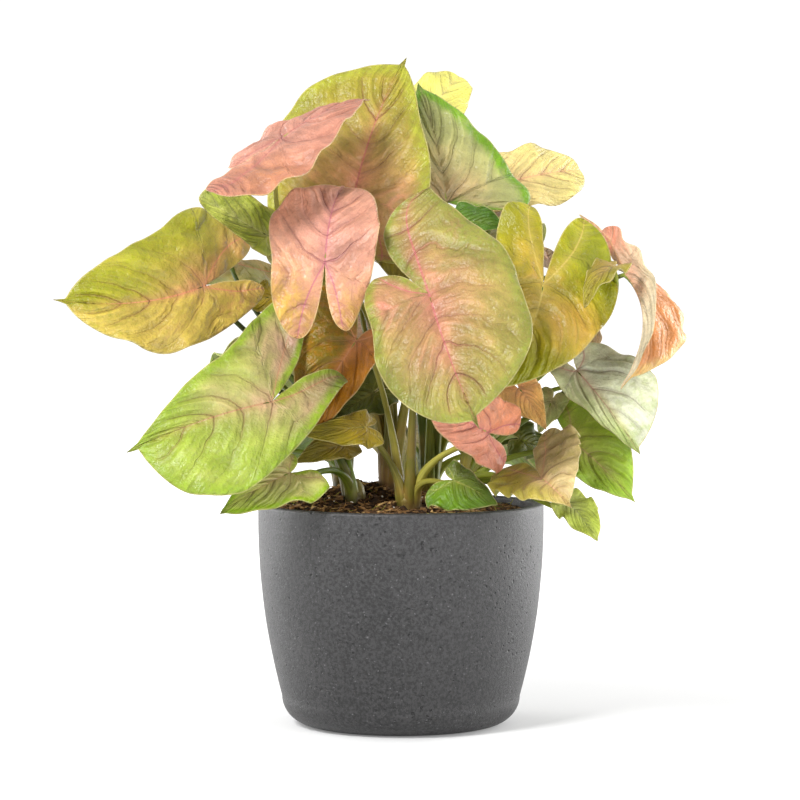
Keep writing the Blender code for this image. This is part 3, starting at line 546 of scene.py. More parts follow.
def zone_masks(leaf: Leaf, look: Look, sign: float, x: np.ndarray, y: np.ndarray, edge: np.ndarray) -> np.ndarray:
    """How much of the flush, the second colour and the painted shade each point has.

    Args:
        leaf: the leaf.
        look: its colours.
        sign: 1 on the right half, -1 on the left.
        x: distance off the midrib.
        y: distance past the petiole.
        edge: distance to the margin.

    Returns:
        An array with the three masks last.
    """
    length = math.dist(leaf.attach, leaf.tip)
    masks = np.zeros((*x.shape, 3))
    round_petiole = np.exp(-((np.hypot(x, 0.7 * y) / (look.flush_size * length)) ** 2))
    masks[..., Zone.FLUSH.value] = look.flush_strength * round_petiole
    side = look.on_right if sign > 0 else look.on_left
    masks[..., Zone.SECOND.value] = side * smooth(0.0, 4.0, x)
    if look.band:
        band = 1 - smooth(0.25 * look.band, look.band, edge)
        masks[..., Zone.SECOND.value] = np.maximum(masks[..., Zone.SECOND.value], band)
    for patch in look.patches:
        away = np.hypot(sign * x - patch.across, y - patch.along) / patch.size
        layer = masks[..., patch.zone.value]
        masks[..., patch.zone.value] = np.maximum(layer, patch.strength * np.exp(-(away**2)))
    return np.clip(masks, 0, 1)


def build_sheet(leaf: Leaf, look: Look) -> Sheet:
    """The blade's middle surface, both halves joined along the midrib."""
    blade = Blade(leaf)
    small = max(leaf.left.width, leaf.right.width) < SMALL_BLADE
    rows = SMALL_ROWS if small else BLADE_ROWS
    columns = SMALL_COLUMNS if small else BLADE_COLUMNS
    lobe_rows = round(rows * LOBE_SHARE)
    places, veins, sizes, zones, flats, faces = [], [], [], [], [], []
    midrib: dict[int, int] = {}
    for sign, half in ((-1.0, leaf.left), (1.0, leaf.right)):
        flat = flat_half(half, blade.length, leaf.drip, rows, columns, sign + sum(leaf.attach))
        phase, spacing, rib = vein_fields(flat, blade.length, half.back)
        outer = (1 - flat.share) * flat.wide
        notch = np.where(flat.lobe > 0, flat.share * flat.wide, outer)
        edge = np.minimum(outer, notch)
        spot = blade.bend(half, sign, flat.x, flat.y)
        masks = zone_masks(leaf, look, sign, flat.x, flat.y, edge)
        rib_width = 0.8 * (1 - 0.75 * flat.past) * (1 - 0.7 * flat.lobe)
        index = np.zeros((rows + 1, columns + 1), int)
        for r in range(rows + 1):
            for c in range(columns + 1):
                if r in (0, rows) and c:
                    index[r, c] = index[r, 0]
                    continue
                if c == 0 and r >= lobe_rows and r in midrib:
                    index[r, c] = midrib[r]
                    continue
                index[r, c] = len(places)
                if c == 0 and r >= lobe_rows:
                    midrib[r] = len(places)
                places.append(spot[r, c])
                veins.append((phase[r, c], rib[r, c], edge[r, c]))
                sizes.append((spacing[r, c], rib_width[r, c], 1.0))
                zones.append(masks[r, c])
                flats.append((sign * flat.x[r, c], flat.y[r, c]))
        for r in range(rows):
            for c in range(columns):
                corners = (index[r, c], index[r, c + 1], index[r + 1, c + 1], index[r + 1, c])
                loop = tuple(dict.fromkeys(int(i) for i in corners))
                if len(loop) > 2:
                    faces.append(loop if sign > 0 else loop[::-1])
    return Sheet(
        np.array(places), faces, np.array(veins), np.array(sizes), np.array(zones), np.array(flats)
    )


def point_normals(places: np.ndarray, faces: list[tuple[int, ...]]) -> np.ndarray:
    """The surface's direction at each point, from the faces round it."""
    normals = np.zeros_like(places)
    for count in (3, 4):
        group = np.array([face for face in faces if len(face) == count])
        if not len(group):
            continue
        corners = places[group]
        cross = np.cross(corners[:, 2] - corners[:, 0], corners[:, -1] - corners[:, 1])
        for i in range(count):
            np.add.at(normals, group[:, i], cross)
    return normals / np.maximum(np.linalg.norm(normals, axis=1, keepdims=True), 1e-9)


def border(faces: list[tuple[int, ...]]) -> list[tuple[int, int]]:
    """The directed edges that only one face has."""
    edges = set()
    for face in faces:
        for a, b in zip(face, face[1:] + face[:1]):
            edges.add((a, b))
    return [(a, b) for a, b in edges if (b, a) not in edges]


def solid_blade(leaf: Leaf, sheet: Sheet) -> tuple[np.ndarray, list[tuple[int, ...]]]:
    """Gives a sheet its quilting, its midrib and its thickness.

    Args:
        leaf: the leaf.
        sheet: its middle surface.

    Returns:
        The closed solid's places and faces: the upper side's points come first.
    """
    phase, rib, edge = sheet.veins.T
    spacing, rib_width, _ = sheet.sizes.T
    off_rib = smooth(0.5, 7.0, np.abs(rib))
    between = np.abs(np.sin(math.pi * phase))
    swell = QUILT * spacing * (between - 0.5) * off_rib * smooth(0.0, 9.0, edge)
    spots = [Vector((x * 0.045, y * 0.045, leaf.attach[0])) for x, y in sheet.flat]
    billow = np.array([noise.noise(spot) + 0.5 * noise.noise(spot * 2.3) for spot in spots])
    swell = swell + BILLOW * billow * smooth(0.0, 14.0, np.abs(sheet.flat[:, 0]))
    groove = 0.55 * rib_width * np.exp(-((rib / (1.8 * rib_width)) ** 2))
    y = sheet.flat[:, 1]
    crimp = 0.5 * np.sin(0.42 * y + 9 * leaf.phase + leaf.attach[0]) * np.exp(-((edge / 5) ** 2))
    normals = point_normals(sheet.places, sheet.faces)
    middle = sheet.places + normals * (swell - groove + crimp)[:, None]
    thick = EDGE_THICKNESS + (BLADE_THICKNESS - EDGE_THICKNESS) * smooth(0, 4, edge)
    keel = 0.9 * rib_width * np.exp(-((rib / (1.2 * rib_width)) ** 2)) * smooth(0, 3, edge)
    normals = point_normals(middle, sheet.faces)
    upper = middle + normals * (thick / 2)[:, None]
    under = middle - normals * (thick / 2 + keel)[:, None]
    count = len(upper)
    faces = list(sheet.faces)
    faces += [tuple(i + count for i in face[::-1]) for face in sheet.faces]
    faces += [(a, a + count, b + count, b) for a, b in border(sheet.faces)]
    return np.concatenate([upper, under]), faces


class MeshData:
    """Collects places, faces and point values, and makes them an object."""

    def __init__(self) -> None:
        self.places: list[np.ndarray] = []
        self.faces: list[tuple[int, ...]] = []
        self.values: dict[str, list[np.ndarray]] = {}
        self.count = 0

    def add(self, places: np.ndarray, faces: list[tuple[int, ...]], **values: np.ndarray) -> None:
        """Adds a solid, with three numbers a point under each name."""
        self.faces += [tuple(i + self.count for i in face) for face in faces]
        self.places.append(places)
        for name, value in values.items():
            self.values.setdefault(name, []).append(value)
        self.count += len(places)

    def build(self, name: str, finish: bpy.types.Material) -> bpy.types.Object:
        """Makes the object, smooth shaded, with its point values as attributes."""
        mesh = bpy.data.meshes.new(name)
        mesh.from_pydata(np.concatenate(self.places) * MM, [], self.faces)
        for key, parts in self.values.items():
            layer = mesh.attributes.new(key, "FLOAT_VECTOR", "POINT")
            layer.data.foreach_set("vector", np.concatenate(parts).astype(np.float32).ravel())
        mesh.materials.append(finish)
        mesh.shade_smooth()
        mesh.update()
        made = bpy.data.objects.new(name, mesh)
        bpy.context.scene.collection.objects.link(made)
        return made


def build_blade(leaf: Leaf, finish: bpy.types.Material) -> bpy.types.Object:
    """One finished leaf blade.

    Args:
        leaf: the leaf.
        finish: its material.

    Returns:
        The blade, standing for the frame's node of the same leaf.
    """
    sheet = build_sheet(leaf, LOOKS[leaf.look])
    places, faces = solid_blade(leaf, sheet)
    flat = np.column_stack([sheet.flat, np.full(len(sheet.flat), 7.0 * sum(leaf.attach))])
    under = sheet.sizes.copy()
    under[:, 2] = 0.0
    data = MeshData()
    data.add(places, faces,
             veins=np.tile(sheet.veins, (2, 1)),
             sizes=np.concatenate([sheet.sizes, under]),
             zones=np.tile(sheet.zones, (2, 1)),
             flat=np.tile(flat, (2, 1)))
    return data.build(leaf.name.replace("leaf_", "blade_"), finish)


def bezier(points: list[np.ndarray], steps: int) -> np.ndarray:
    """Places along a cubic curve with four control points."""
    t = np.linspace(0, 1, steps + 1)[:, None]
    a, b, c, d = points
    return (1 - t) ** 3 * a + 3 * (1 - t) ** 2 * t * b + 3 * (1 - t) * t**2 * c + t**3 * d


def ring_frames(path: np.ndarray) -> tuple[np.ndarray, np.ndarray]:
    """Two directions square to the path at each point, carried along without spin."""
    tangents = np.gradient(path, axis=0)
    side = np.cross(tangents[0], (0.3, 1.0, 0.1))
    sides = []
    for tangent in tangents:
        side = unit(side - tangent * (side @ tangent) / (tangent @ tangent))
        sides.append(side)
    sides = np.array(sides)
    ups = np.cross(tangents, sides)
    return sides, ups / np.linalg.norm(ups, axis=1, keepdims=True)


def loft_faces(rings: int, sides: int) -> list[tuple[int, ...]]:
    """Faces of a closed tube of rings, with a fan on each end round two last points."""
    faces: list[tuple[int, ...]] = []
    for r in range(rings - 1):
        for i in range(sides):
            j = (i + 1) % sides
            low, high = r * sides, (r + 1) * sides
            faces.append((low + i, low + j, high + j, high + i))
    first, last, top = rings * sides, rings * sides + 1, (rings - 1) * sides
    for i in range(sides):
        j = (i + 1) % sides
        faces.append((j, i, first))
        faces.append((top + i, top + j, last))
    return faces


def add_tube(data: MeshData, rings: np.ndarray, grain: np.ndarray) -> None:
    """Adds a closed tube.

    Args:
        data: takes the tube.
        rings: an array of rings by sides by three.
        grain: what the finish reads at each ring: length along, share along, tone.
    """
    count, sides, _ = rings.shape
    ends = np.stack([rings[0].mean(0), rings[-1].mean(0)])
    places = np.concatenate([rings.reshape(-1, 3), ends])
    values = np.concatenate([np.repeat(grain, sides, axis=0), grain[:1], grain[-1:]])
    angle = np.arange(sides) * 2 * math.pi / sides
    turn = np.stack([np.cos(angle), np.sin(angle), np.zeros(sides)], axis=-1)
    around = np.concatenate([np.tile(turn, (count, 1)), np.zeros((2, 3))])
    data.add(places, loft_faces(count, sides), grain=values, around=around)


def level_ring(centre: Place, radius: np.ndarray | float, count: int) -> np.ndarray:
    """A level ring of places, anticlockwise from above."""
    angle = np.arange(count) * 2 * math.pi / count
    x = centre[0] + radius * np.cos(angle)
    y = centre[1] + radius * np.sin(angle)
    return np.stack([x, y, np.full(count, float(centre[2]))], axis=-1)


def pot_side(height: float) -> float:
    """Outer radius of the pot at a height, above its rounded foot."""
    short = np.clip(1 - height / POT_FULL_HEIGHT, 0, 1)
    return float(POT_RADIUS - POT_TAPER * short**2)


def pot_profile() -> list[tuple[float, float]]:
    """Radius and height along the pot's section, from the foot round to the inner floor."""
    foot_top = pot_side(POT_CORNER_HEIGHT)
    points = []
    for angle in np.radians(np.linspace(-90, 0, 15)):
        radius = POT_BASE_RADIUS + (foot_top - POT_BASE_RADIUS) * math.cos(angle)
        points.append((radius, POT_CORNER_HEIGHT * (1 + math.sin(angle))))
    for height in np.linspace(POT_CORNER_HEIGHT, POT_FULL_HEIGHT, 40)[1:]:
        points.append((pot_side(height), height))
    points.append((POT_RADIUS, (POT_FULL_HEIGHT + POT_HEIGHT) / 2))
    inner = POT_RADIUS - POT_WALL
    for centre, start in ((POT_RADIUS - POT_LIP_ROUND, 0), (inner + POT_LIP_ROUND, 90)):
        for angle in np.radians(np.linspace(start, start + 90, 8)):
            radius = centre + POT_LIP_ROUND * math.cos(angle)
            points.append((radius, POT_HEIGHT - POT_LIP_ROUND * (1 - math.sin(angle))))
    for height in np.linspace(POT_FULL_HEIGHT, POT_FLOOR + POT_CORNER_HEIGHT, 8):
        points.append((pot_side(height) - POT_WALL, height))
    points.append((POT_BASE_RADIUS, POT_FLOOR))
    return points


def build_pot(finish: bpy.types.Material) -> bpy.types.Object:
    """The cup pot, turned, with a slightly uneven cast surface."""
    rings = []
    for radius, height in pot_profile():
        ring = level_ring((0, 0, height), radius, POT_SEGMENTS)
        uneven = [0.16 * noise.noise(Vector(place) * 0.05) for place in ring]
        out = 1 + np.array(uneven)[:, None] / radius
        ring[:, :2] *= out
        rings.append(ring)
    data = MeshData()
    grain = np.zeros((len(rings), 3))
    add_tube(data, np.array(rings), grain)
    return data.build("pot_shell", finish)


def soil_height(x: np.ndarray, y: np.ndarray) -> np.ndarray:
    """Height of the soil's top: a mound behind the middle, with lumps."""
    away = np.hypot(x - SOIL_PEAK[0], y - SOIL_PEAK[1])
    inside = 1 - (np.hypot(x, y) / (POT_RADIUS - POT_WALL)) ** 4
    mound = SOIL_RISE * np.exp(-((away / SOIL_SPREAD) ** 2)) * np.clip(inside, 0, 1)
    lumps = np.sin(SOIL_WAVES[0] * x) * np.sin(SOIL_WAVES[1] * y)
    lumps = lumps + np.sin(SOIL_CROSS_WAVES[0] * x - SOIL_CROSS_WAVES[1] * y) / 2
    return SOIL_EDGE + mound + SOIL_LUMP * lumps


def soil_top(shoot: Shoot) -> float:
    """Height of the soil where a shoot leaves it."""
    return float(soil_height(*shoot.place))


def crumbs(place: np.ndarray) -> float:
    """Rise of the crumbly surface at a place on the soil."""
    spot = Vector((place[0], place[1], 0.0))
    coarse = noise.turbulence(spot * 0.16, 3, False)
    fine = noise.noise(spot * 0.9)
    return 2.6 * (coarse - 0.55) + 0.7 * fine


def build_soil(finish: bpy.types.Material) -> bpy.types.Object:
    """The potting mix under the loose chips."""
    rings = [level_ring((0, 0, POT_FLOOR + GAP), POT_BASE_RADIUS - 2, SOIL_SEGMENTS)]
    for height in np.linspace(POT_FLOOR + POT_CORNER_HEIGHT, POT_FULL_HEIGHT, 6):
        rings.append(level_ring((0, 0, height), pot_side(height) - POT_WALL - 2 * GAP, SOIL_SEGMENTS))
    for share in np.linspace(1, 1 / SOIL_RINGS, SOIL_RINGS):
        ring = level_ring((0, 0, 0), share * (POT_RADIUS - POT_WALL - SOIL_WALL_GAP), SOIL_SEGMENTS)
        rise = np.array([crumbs(place) for place in ring])
        ring[:, 2] = soil_height(ring[:, 0], ring[:, 1]) + rise * (1 - 0.5 * share**6)
        rings.append(ring)
    data = MeshData()
    add_tube(data, np.array(rings), np.zeros((len(rings), 3)))
    return data.build("soil_bed", finish)


def petiole_path(leaf: Leaf) -> np.ndarray:
    """The petiole's centre line, from inside its shoot to under the blade's midrib."""
    shoot = next(shoot for shoot in SHOOTS if shoot.name == leaf.shoot)
    blade = Blade(leaf)
    attach, across, up = (value[0] for value in blade.frame(np.zeros(1)))
    along = np.cross(up, across)
    arrive = unit((1 - leaf.lean) * up + leaf.lean * along)
    tilt = arrive @ up
    reach_under = (BLADE_THICKNESS / 2 + GAP + PETIOLE_TIP_RADIUS * math.sqrt(1 - tilt**2)) / tilt
    end = attach - arrive * reach_under
    crown = soil_top(shoot) + shoot.rise
    outward = np.array([end[0] - shoot.place[0], end[1] - shoot.place[1], 0.0])
    spread = min(1.0, shoot.radius * PETIOLE_START_OUT / np.linalg.norm(outward))
    start = np.array([*shoot.place, crown - PETIOLE_START_DEPTH]) + outward * spread
    span = float(np.linalg.norm(end - start))
    rise = start + np.array([0.0, 0.0, PETIOLE_RISE * span]) + outward * PETIOLE_OUT
    bend = end - arrive * leaf.reach * span
    shift = np.array(leaf.via, float)
    main = bezier([start, rise + shift, bend + shift, end], PETIOLE_STEPS)
    places, _, ups = blade.frame(np.array([2.5, 6.0, 11.0]))
    below = start - outward * spread * 0.2
    foot = [below - (0.0, 0.0, shoot.rise + FOOT_DEPTH), below - (0.0, 0.0, shoot.rise / 2)]
    return np.concatenate([foot, main, places - ups * (BLADE_THICKNESS / 2 + 0.45)])


def add_petiole(data: MeshData, leaf: Leaf, tone: float) -> None:
    """Adds one petiole: a sheath with a groove at its foot, then a slender stalk."""
    path = petiole_path(leaf)
    count = len(path)
    share = np.clip((np.arange(count) - FOOT_RINGS) / PETIOLE_STEPS, 0, 1)
    radii = PETIOLE_TIP_RADIUS + (PETIOLE_BASE_RADIUS - PETIOLE_TIP_RADIUS) * (1 - share)
    sheath = np.clip(1 - share / SHEATH_SHARE, 0, 1)
    radii = radii + (SHEATH_RADIUS - PETIOLE_BASE_RADIUS) * sheath
    swell = np.exp(-(((share - 0.97) / 0.02) ** 2)) * 0.18
    radii = radii + swell
    radii[FOOT_RINGS + PETIOLE_STEPS + 1:] = (0.95, 0.7, 0.3)
    side, up = ring_frames(path)
    inward = np.array([-path[0][0], -path[0][1], 0.0]) + 0.01
    facing = np.arctan2(up @ inward, side @ inward)
    angle = (np.arange(PETIOLE_SIDES) * 2 * math.pi / PETIOLE_SIDES)[None, :]
    off = np.angle(np.exp(1j * (angle - facing[:, None])))
    winged = np.clip(1.6 - 3.2 * share, 0, 1)[:, None]
    groove = 1 - winged * 0.42 * np.exp(-((off / 0.45) ** 2)) + winged * 0.16 * np.exp(-(((np.abs(off) - 0.9) / 0.3) ** 2))
    around = radii[:, None] * groove
    rings = path[:, None, :] + around[..., None] * (
        np.cos(angle)[..., None] * side[:, None, :] + np.sin(angle)[..., None] * up[:, None, :]
    )
    top = path[:, 2] - soil_height(path[:, 0], path[:, 1])
    grain = np.stack([top, share, np.full(count, tone)], axis=-1)
    add_tube(data, rings, grain)


def build_shoot(shoot: Shoot, finish: bpy.types.Material) -> bpy.types.Object:
    """One shoot: its short ringed stem and its petioles."""
    data = MeshData()
    top = soil_top(shoot)
    heights = [top - ROOT_DEPTH, top + 1.0, top + shoot.rise * STEM_SHOULDER, top + shoot.rise]
    rings = []
    grain = []
    for height in np.linspace(heights[0], heights[-1], 34):
        share = np.interp(height, heights, STEM_SHARES)
        scar = 1 + 0.07 * max(0.0, math.cos(height * 1.9)) ** 6 * (height > top)
        rings.append(level_ring((*shoot.place, height), shoot.radius * share * scar, STEM_SIDES))
        grain.append((height - top, 0.0, 0.4))
    add_tube(data, np.array(rings), np.array(grain))
    leaves = [leaf for leaf in LEAVES if leaf.shoot == shoot.name]
    for i, leaf in enumerate(leaves):
        add_petiole(data, leaf, (i * 0.618) % 1)
    return data.build(shoot.name.replace("shoot", "stalks"), finish)


def linear(colour: Rgb, gain: float = 1.0) -> tuple[float, float, float, float]:
    """An sRGB colour in bytes as the linear colour that a shader takes."""
    values = []
    for byte in colour:
        share = byte / 255
        value = share / 12.92 if share <= 0.04045 else ((share + 0.055) / 1.055) ** 2.4
        values.append(min(1.0, value * gain))
    return (*values, 1.0)


class Graph:
    """Adds nodes to a node tree, with inputs that are set or linked."""

    def __init__(self, tree: bpy.types.NodeTree) -> None:
        self.tree = tree

    def add(self, kind: str, inputs: dict[str | int, Any] | None = None, **settings: Any) -> Any:
        """Adds one node.

        Args:
            kind: the node's type, without its prefix for shader nodes.
            inputs: socket name or number, to a value or to a socket to link.
            settings: the node's own properties.

        Returns:
            The node.
        """
        node = self.tree.nodes.new(kind if "Node" in kind else f"ShaderNode{kind}")
        for key, value in settings.items():
            setattr(node, key, value)
        for key, value in (inputs or {}).items():
            if isinstance(value, bpy.types.NodeSocket):
                self.tree.links.new(value, node.inputs[key])
            else:
                node.inputs[key].default_value = value
        return node

    def math(self, operation: str, *values: Any, clamp: bool = False) -> Any:
        """A Math node's result."""
        node = self.add("Math", dict(enumerate(values)), operation=operation, use_clamp=clamp)
        return node.outputs[0]

    def step(self, value: Any, low: Any, high: Any, start: Any = 0.0, end: Any = 1.0) -> Any:
        """A smooth step of a value from start at low to end at high."""
        inputs = {"Value": value, "From Min": low, "From Max": high, "To Min": start, "To Max": end}
        return self.add("MapRange", inputs, interpolation_type="SMOOTHSTEP").outputs["Result"]

    def mix(self, share: Any, first: Any, second: Any, blend: str = "MIX") -> Any:
        """A mix of two colours."""
        node = self.add("Mix", data_type="RGBA", blend_type=blend)
        for key, value in ((0, share), (6, first), (7, second)):
            if isinstance(value, bpy.types.NodeSocket):
                self.tree.links.new(value, node.inputs[key])
            else:
                node.inputs[key].default_value = value
        return node.outputs[2]

    def noise(self, vector: Any, scale: float, detail: float = 2.0, rough: float = 0.5) -> Any:
        """A noise value from 0 to 1."""
        inputs = {"Vector": vector, "Scale": scale, "Detail": detail, "Roughness": rough}
        return self.add("TexNoise", inputs).outputs["Fac"]

    def split(self, name: str) -> list[Any]:
        """The three numbers of a point attribute."""
        source = self.add("Attribute", attribute_name=name)
        parts = self.add("SeparateXYZ", {0: source.outputs["Vector"]})
        return list(parts.outputs)


def new_group(name: str, sockets: list[tuple[str, str, str]]) -> bpy.types.NodeTree:
    """A shader node group with its named sockets.

    Args:
        name: the group's name.
        sockets: name, direction and type of each socket.

    Returns:
        The group's tree.
    """
    group = bpy.data.node_groups.new(name, "ShaderNodeTree")
    for label, way, kind in sockets:
        group.interface.new_socket(label, in_out=way, socket_type=kind)
    return group


def leaf_group() -> bpy.types.NodeTree:
    """The pattern of a leaf: veins, creases, flush and mottling, with painted shade in the creases and in patches, as
    a colour and a height.
    """
    colour, value = "NodeSocketColor", "NodeSocketFloat"
    sockets = [(name, "INPUT", colour) for name in ("Field", "Flush", "Second", "Rib", "Under")]
    sockets += [("Vein", "INPUT", value), ("Colour", "OUTPUT", colour), ("Light", "OUTPUT", colour),
                ("Height", "OUTPUT", value), ("Roughness", "OUTPUT", value)]
    group = new_group("leaf_pattern", sockets)
    g = Graph(group)
    given = g.add("NodeGroupInput").outputs
    phase, rib, edge = g.split("veins")
    spacing, rib_width, upper = g.split("sizes")
    # the third zone is the blade's painted shade patches
    flush, second, shade = g.split("zones")
    flat = g.add("Attribute", attribute_name="flat").outputs["Vector"]
    wander = g.noise(flat, 0.06, 3)
    phase = g.math("ADD", phase, g.math("MULTIPLY", g.math("SUBTRACT", wander, 0.5), 0.6))
    off_rib = g.math("ABSOLUTE", rib)

    off_vein = g.math("ABSOLUTE", g.math("SUBTRACT", g.math("FRACT", g.math("ADD", phase, 0.5)), 0.5))
    off_vein = g.math("MULTIPLY", off_vein, spacing)
    number = g.math("FLOOR", g.math("ADD", phase, 0.5))
    which = g.add("CombineXYZ", {0: g.math("MULTIPLY", number, 3.7), 1: spacing}).outputs[0]
    own = g.step(g.noise(which, 1.3, 0), 0.35, 0.65, 0.3, 1.0)
    reach = g.math("MULTIPLY", g.step(off_rib, 0.0, 34.0, 1.0, 0.15), own)
    fade = g.math("MULTIPLY", g.step(edge, 1.0, 9.0, 0.1, 1.0), reach)
    vein = g.math("MULTIPLY", g.step(off_vein, 0.08, 0.5, 1.0, 0.0), fade)
    # halo and fold also mark where painted shade darkens the colour round the veins and along their creases, below
    halo = g.math("MULTIPLY", g.step(off_vein, 0.2, 3.2, 1.0, 0.0), fade)
    fold = g.math("MULTIPLY", g.step(off_vein, 0.0, 1.2, 1.0, 0.0), g.step(edge, 0.5, 7.0, 0.2, 1.0))
    ridge = g.step(off_rib, g.math("MULTIPLY", rib_width, 0.35), g.math("MULTIPLY", rib_width, 1.2), 1.0, 0.0)
    glow = g.step(off_rib, 0.5, 6.0, 1.0, 0.0)
    rim = g.step(edge, 0.25, 0.8, 1.0, 0.0)

    run = g.math("MULTIPLY", spacing, 0.3)
    lay = g.add("CombineXYZ", {0: g.math("MULTIPLY", phase, 2.8), 1: g.math("MULTIPLY", rib, 0.045), 2: run})
    streak = g.noise(lay.outputs[0], 1.2, 2)
    cells = g.add("TexVoronoi", {"Vector": flat, "Scale": 0.4, "Randomness": 0.9}, feature="DISTANCE_TO_EDGE")
    net = g.step(cells.outputs["Distance"], 0.0, 0.25, 1.0, 0.0)
    off_pleat = g.math("ABSOLUTE", g.math("SUBTRACT", g.math("FRACT", g.math("MULTIPLY", phase, 2.0)), 0.5))
    pleat = g.math("MULTIPLY", g.step(g.math("MULTIPLY", off_pleat, spacing), 0.0, 4.5),
                   g.step(off_rib, 2.0, 26.0, 1.0, 0.2))
    mottle = g.noise(flat, 0.05, 4, 0.6)
    blotch = g.noise(flat, 0.24, 3, 0.6)
    grain = g.noise(flat, 1.7, 2)

    flush = g.math("MULTIPLY", flush, g.step(streak, 0.3, 0.66, 0.75, 1.15))
    flush = g.math("ADD", flush, g.math("MULTIPLY", g.step(mottle, 0.5, 0.75), 0.14), clamp=True)
    second = g.math("MULTIPLY", second, g.step(blotch, 0.3, 0.6, 0.55, 1.2), clamp=True)
    base = g.mix(flush, given["Field"], given["Flush"])
    base = g.mix(second, base, given["Second"])
    light = g.step(mottle, 0.3, 0.7, 0.84, 1.2)
    for field, low, high in ((streak, 0.88, 1.12), (blotch, 0.93, 1.08), (grain, 0.94, 1.06)):
        light = g.math("MULTIPLY", light, g.step(field, 0.3, 0.7, low, high))
    # painted shade: the shade patches, and darkening round the veins (halo), along their creases (fold) and in the
    # pleats, as the quilted blade's own shading; net is the fine cell pattern
    for mask, depth in ((shade, 0.75), (halo, 0.1), (fold, 0.07), (net, 0.03), (pleat, 0.05)):
        light = g.math("MULTIPLY", light, g.math("SUBTRACT", 1.0, g.math("MULTIPLY", mask, depth)))
    base = g.add("HueSaturation", {"Value": light, "Saturation": 1.12, "Color": base}).outputs[0]
    strong = g.math("MULTIPLY", given["Vein"], g.step(off_rib, 0.0, 30.0, 1.0, 0.4))
    for mask, share in ((halo, g.math("MULTIPLY", strong, 0.3)), (vein, strong), (net, 0.06), (glow, 0.22),
                        (ridge, 0.7)):
        base = g.mix(g.math("MULTIPLY", mask, share), base, given["Rib"])
    base = g.mix(g.math("MULTIPLY", rim, 0.5), base, (0.60, 0.50, 0.22, 1.0))

    through = g.mix(g.math("MULTIPLY", flush, 0.85), given["Under"], given["Flush"])
    below = g.add("HueSaturation", {"Value": light, "Color": through}).outputs[0]
    below = g.mix(g.math("MULTIPLY", vein, 0.3), below, given["Rib"])
    below = g.mix(g.math("MULTIPLY", ridge, 0.6), below, given["Rib"])
    colour_out = g.mix(upper, below, base)
    shine = g.add("HueSaturation", {"Value": 1.15, "Saturation": 1.25, "Color": colour_out}).outputs[0]

    lines = g.math("ADD", g.math("MULTIPLY", vein, 0.35), g.math("MULTIPLY", net, 0.04))
    facing = g.math("SUBTRACT", 1.0, g.math("MULTIPLY", upper, 2.0))
    height = g.math("MULTIPLY", lines, facing)
    for field, share in ((mottle, 1.6), (streak, 1.3), (blotch, 0.9), (grain, 0.03), (pleat, -0.2), (fold, -0.12)):
        height = g.math("ADD", height, g.math("MULTIPLY", field, share))
    rough = g.step(blotch, 0.3, 0.7, 0.36, 0.48)
    g.add("NodeGroupOutput", {"Colour": colour_out, "Light": shine, "Height": height, "Roughness": rough})
    return group


def new_material(name: str) -> tuple[bpy.types.Material, Graph, Any, Any]:
    """An empty material with its Principled shader and its output."""
    made = bpy.data.materials.new(name)
    made.use_nodes = True
    graph = Graph(made.node_tree)
    nodes = made.node_tree.nodes
    return made, graph, nodes["Principled BSDF"], nodes["Material Output"]


@dataclass(frozen=True)
class LeafFinish:
    """A leaf's finish: soft gloss, with light showing through."""

    name: str
    look: Look
    gain: float = 0.8
    through: float = 0.2

    def build(self, group: bpy.types.NodeTree) -> bpy.types.Material:
        """Makes the material round the shared leaf pattern."""
        made, g, shader, output = new_material(f"leaf_{self.name}")
        look = self.look
        colours = {"Field": look.field, "Flush": look.flush, "Second": look.second,
                   "Rib": look.rib, "Under": look.under}
        inputs = {name: linear(colour, self.gain) for name, colour in colours.items()}
        pattern = g.add("Group", node_tree=group)
        for name, colour in inputs.items():
            pattern.inputs[name].default_value = colour
        pattern.inputs["Vein"].default_value = look.vein
        bump = g.add("Bump", {"Height": pattern.outputs["Height"], "Strength": 1.0, "Distance": 0.0014})
        links = made.node_tree.links
        links.new(pattern.outputs["Colour"], shader.inputs["Base Color"])
        links.new(pattern.outputs["Roughness"], shader.inputs["Roughness"])
        links.new(bump.outputs[0], shader.inputs["Normal"])
        shader.inputs["Specular IOR Level"].default_value = 0.45
        glow = g.add("BsdfTranslucent", {"Color": pattern.outputs["Light"], "Normal": bump.outputs[0]})
        both = g.add("MixShader", {0: self.through, 1: shader.outputs[0], 2: glow.outputs[0]})
        links.new(both.outputs[0], output.inputs["Surface"])
        return made


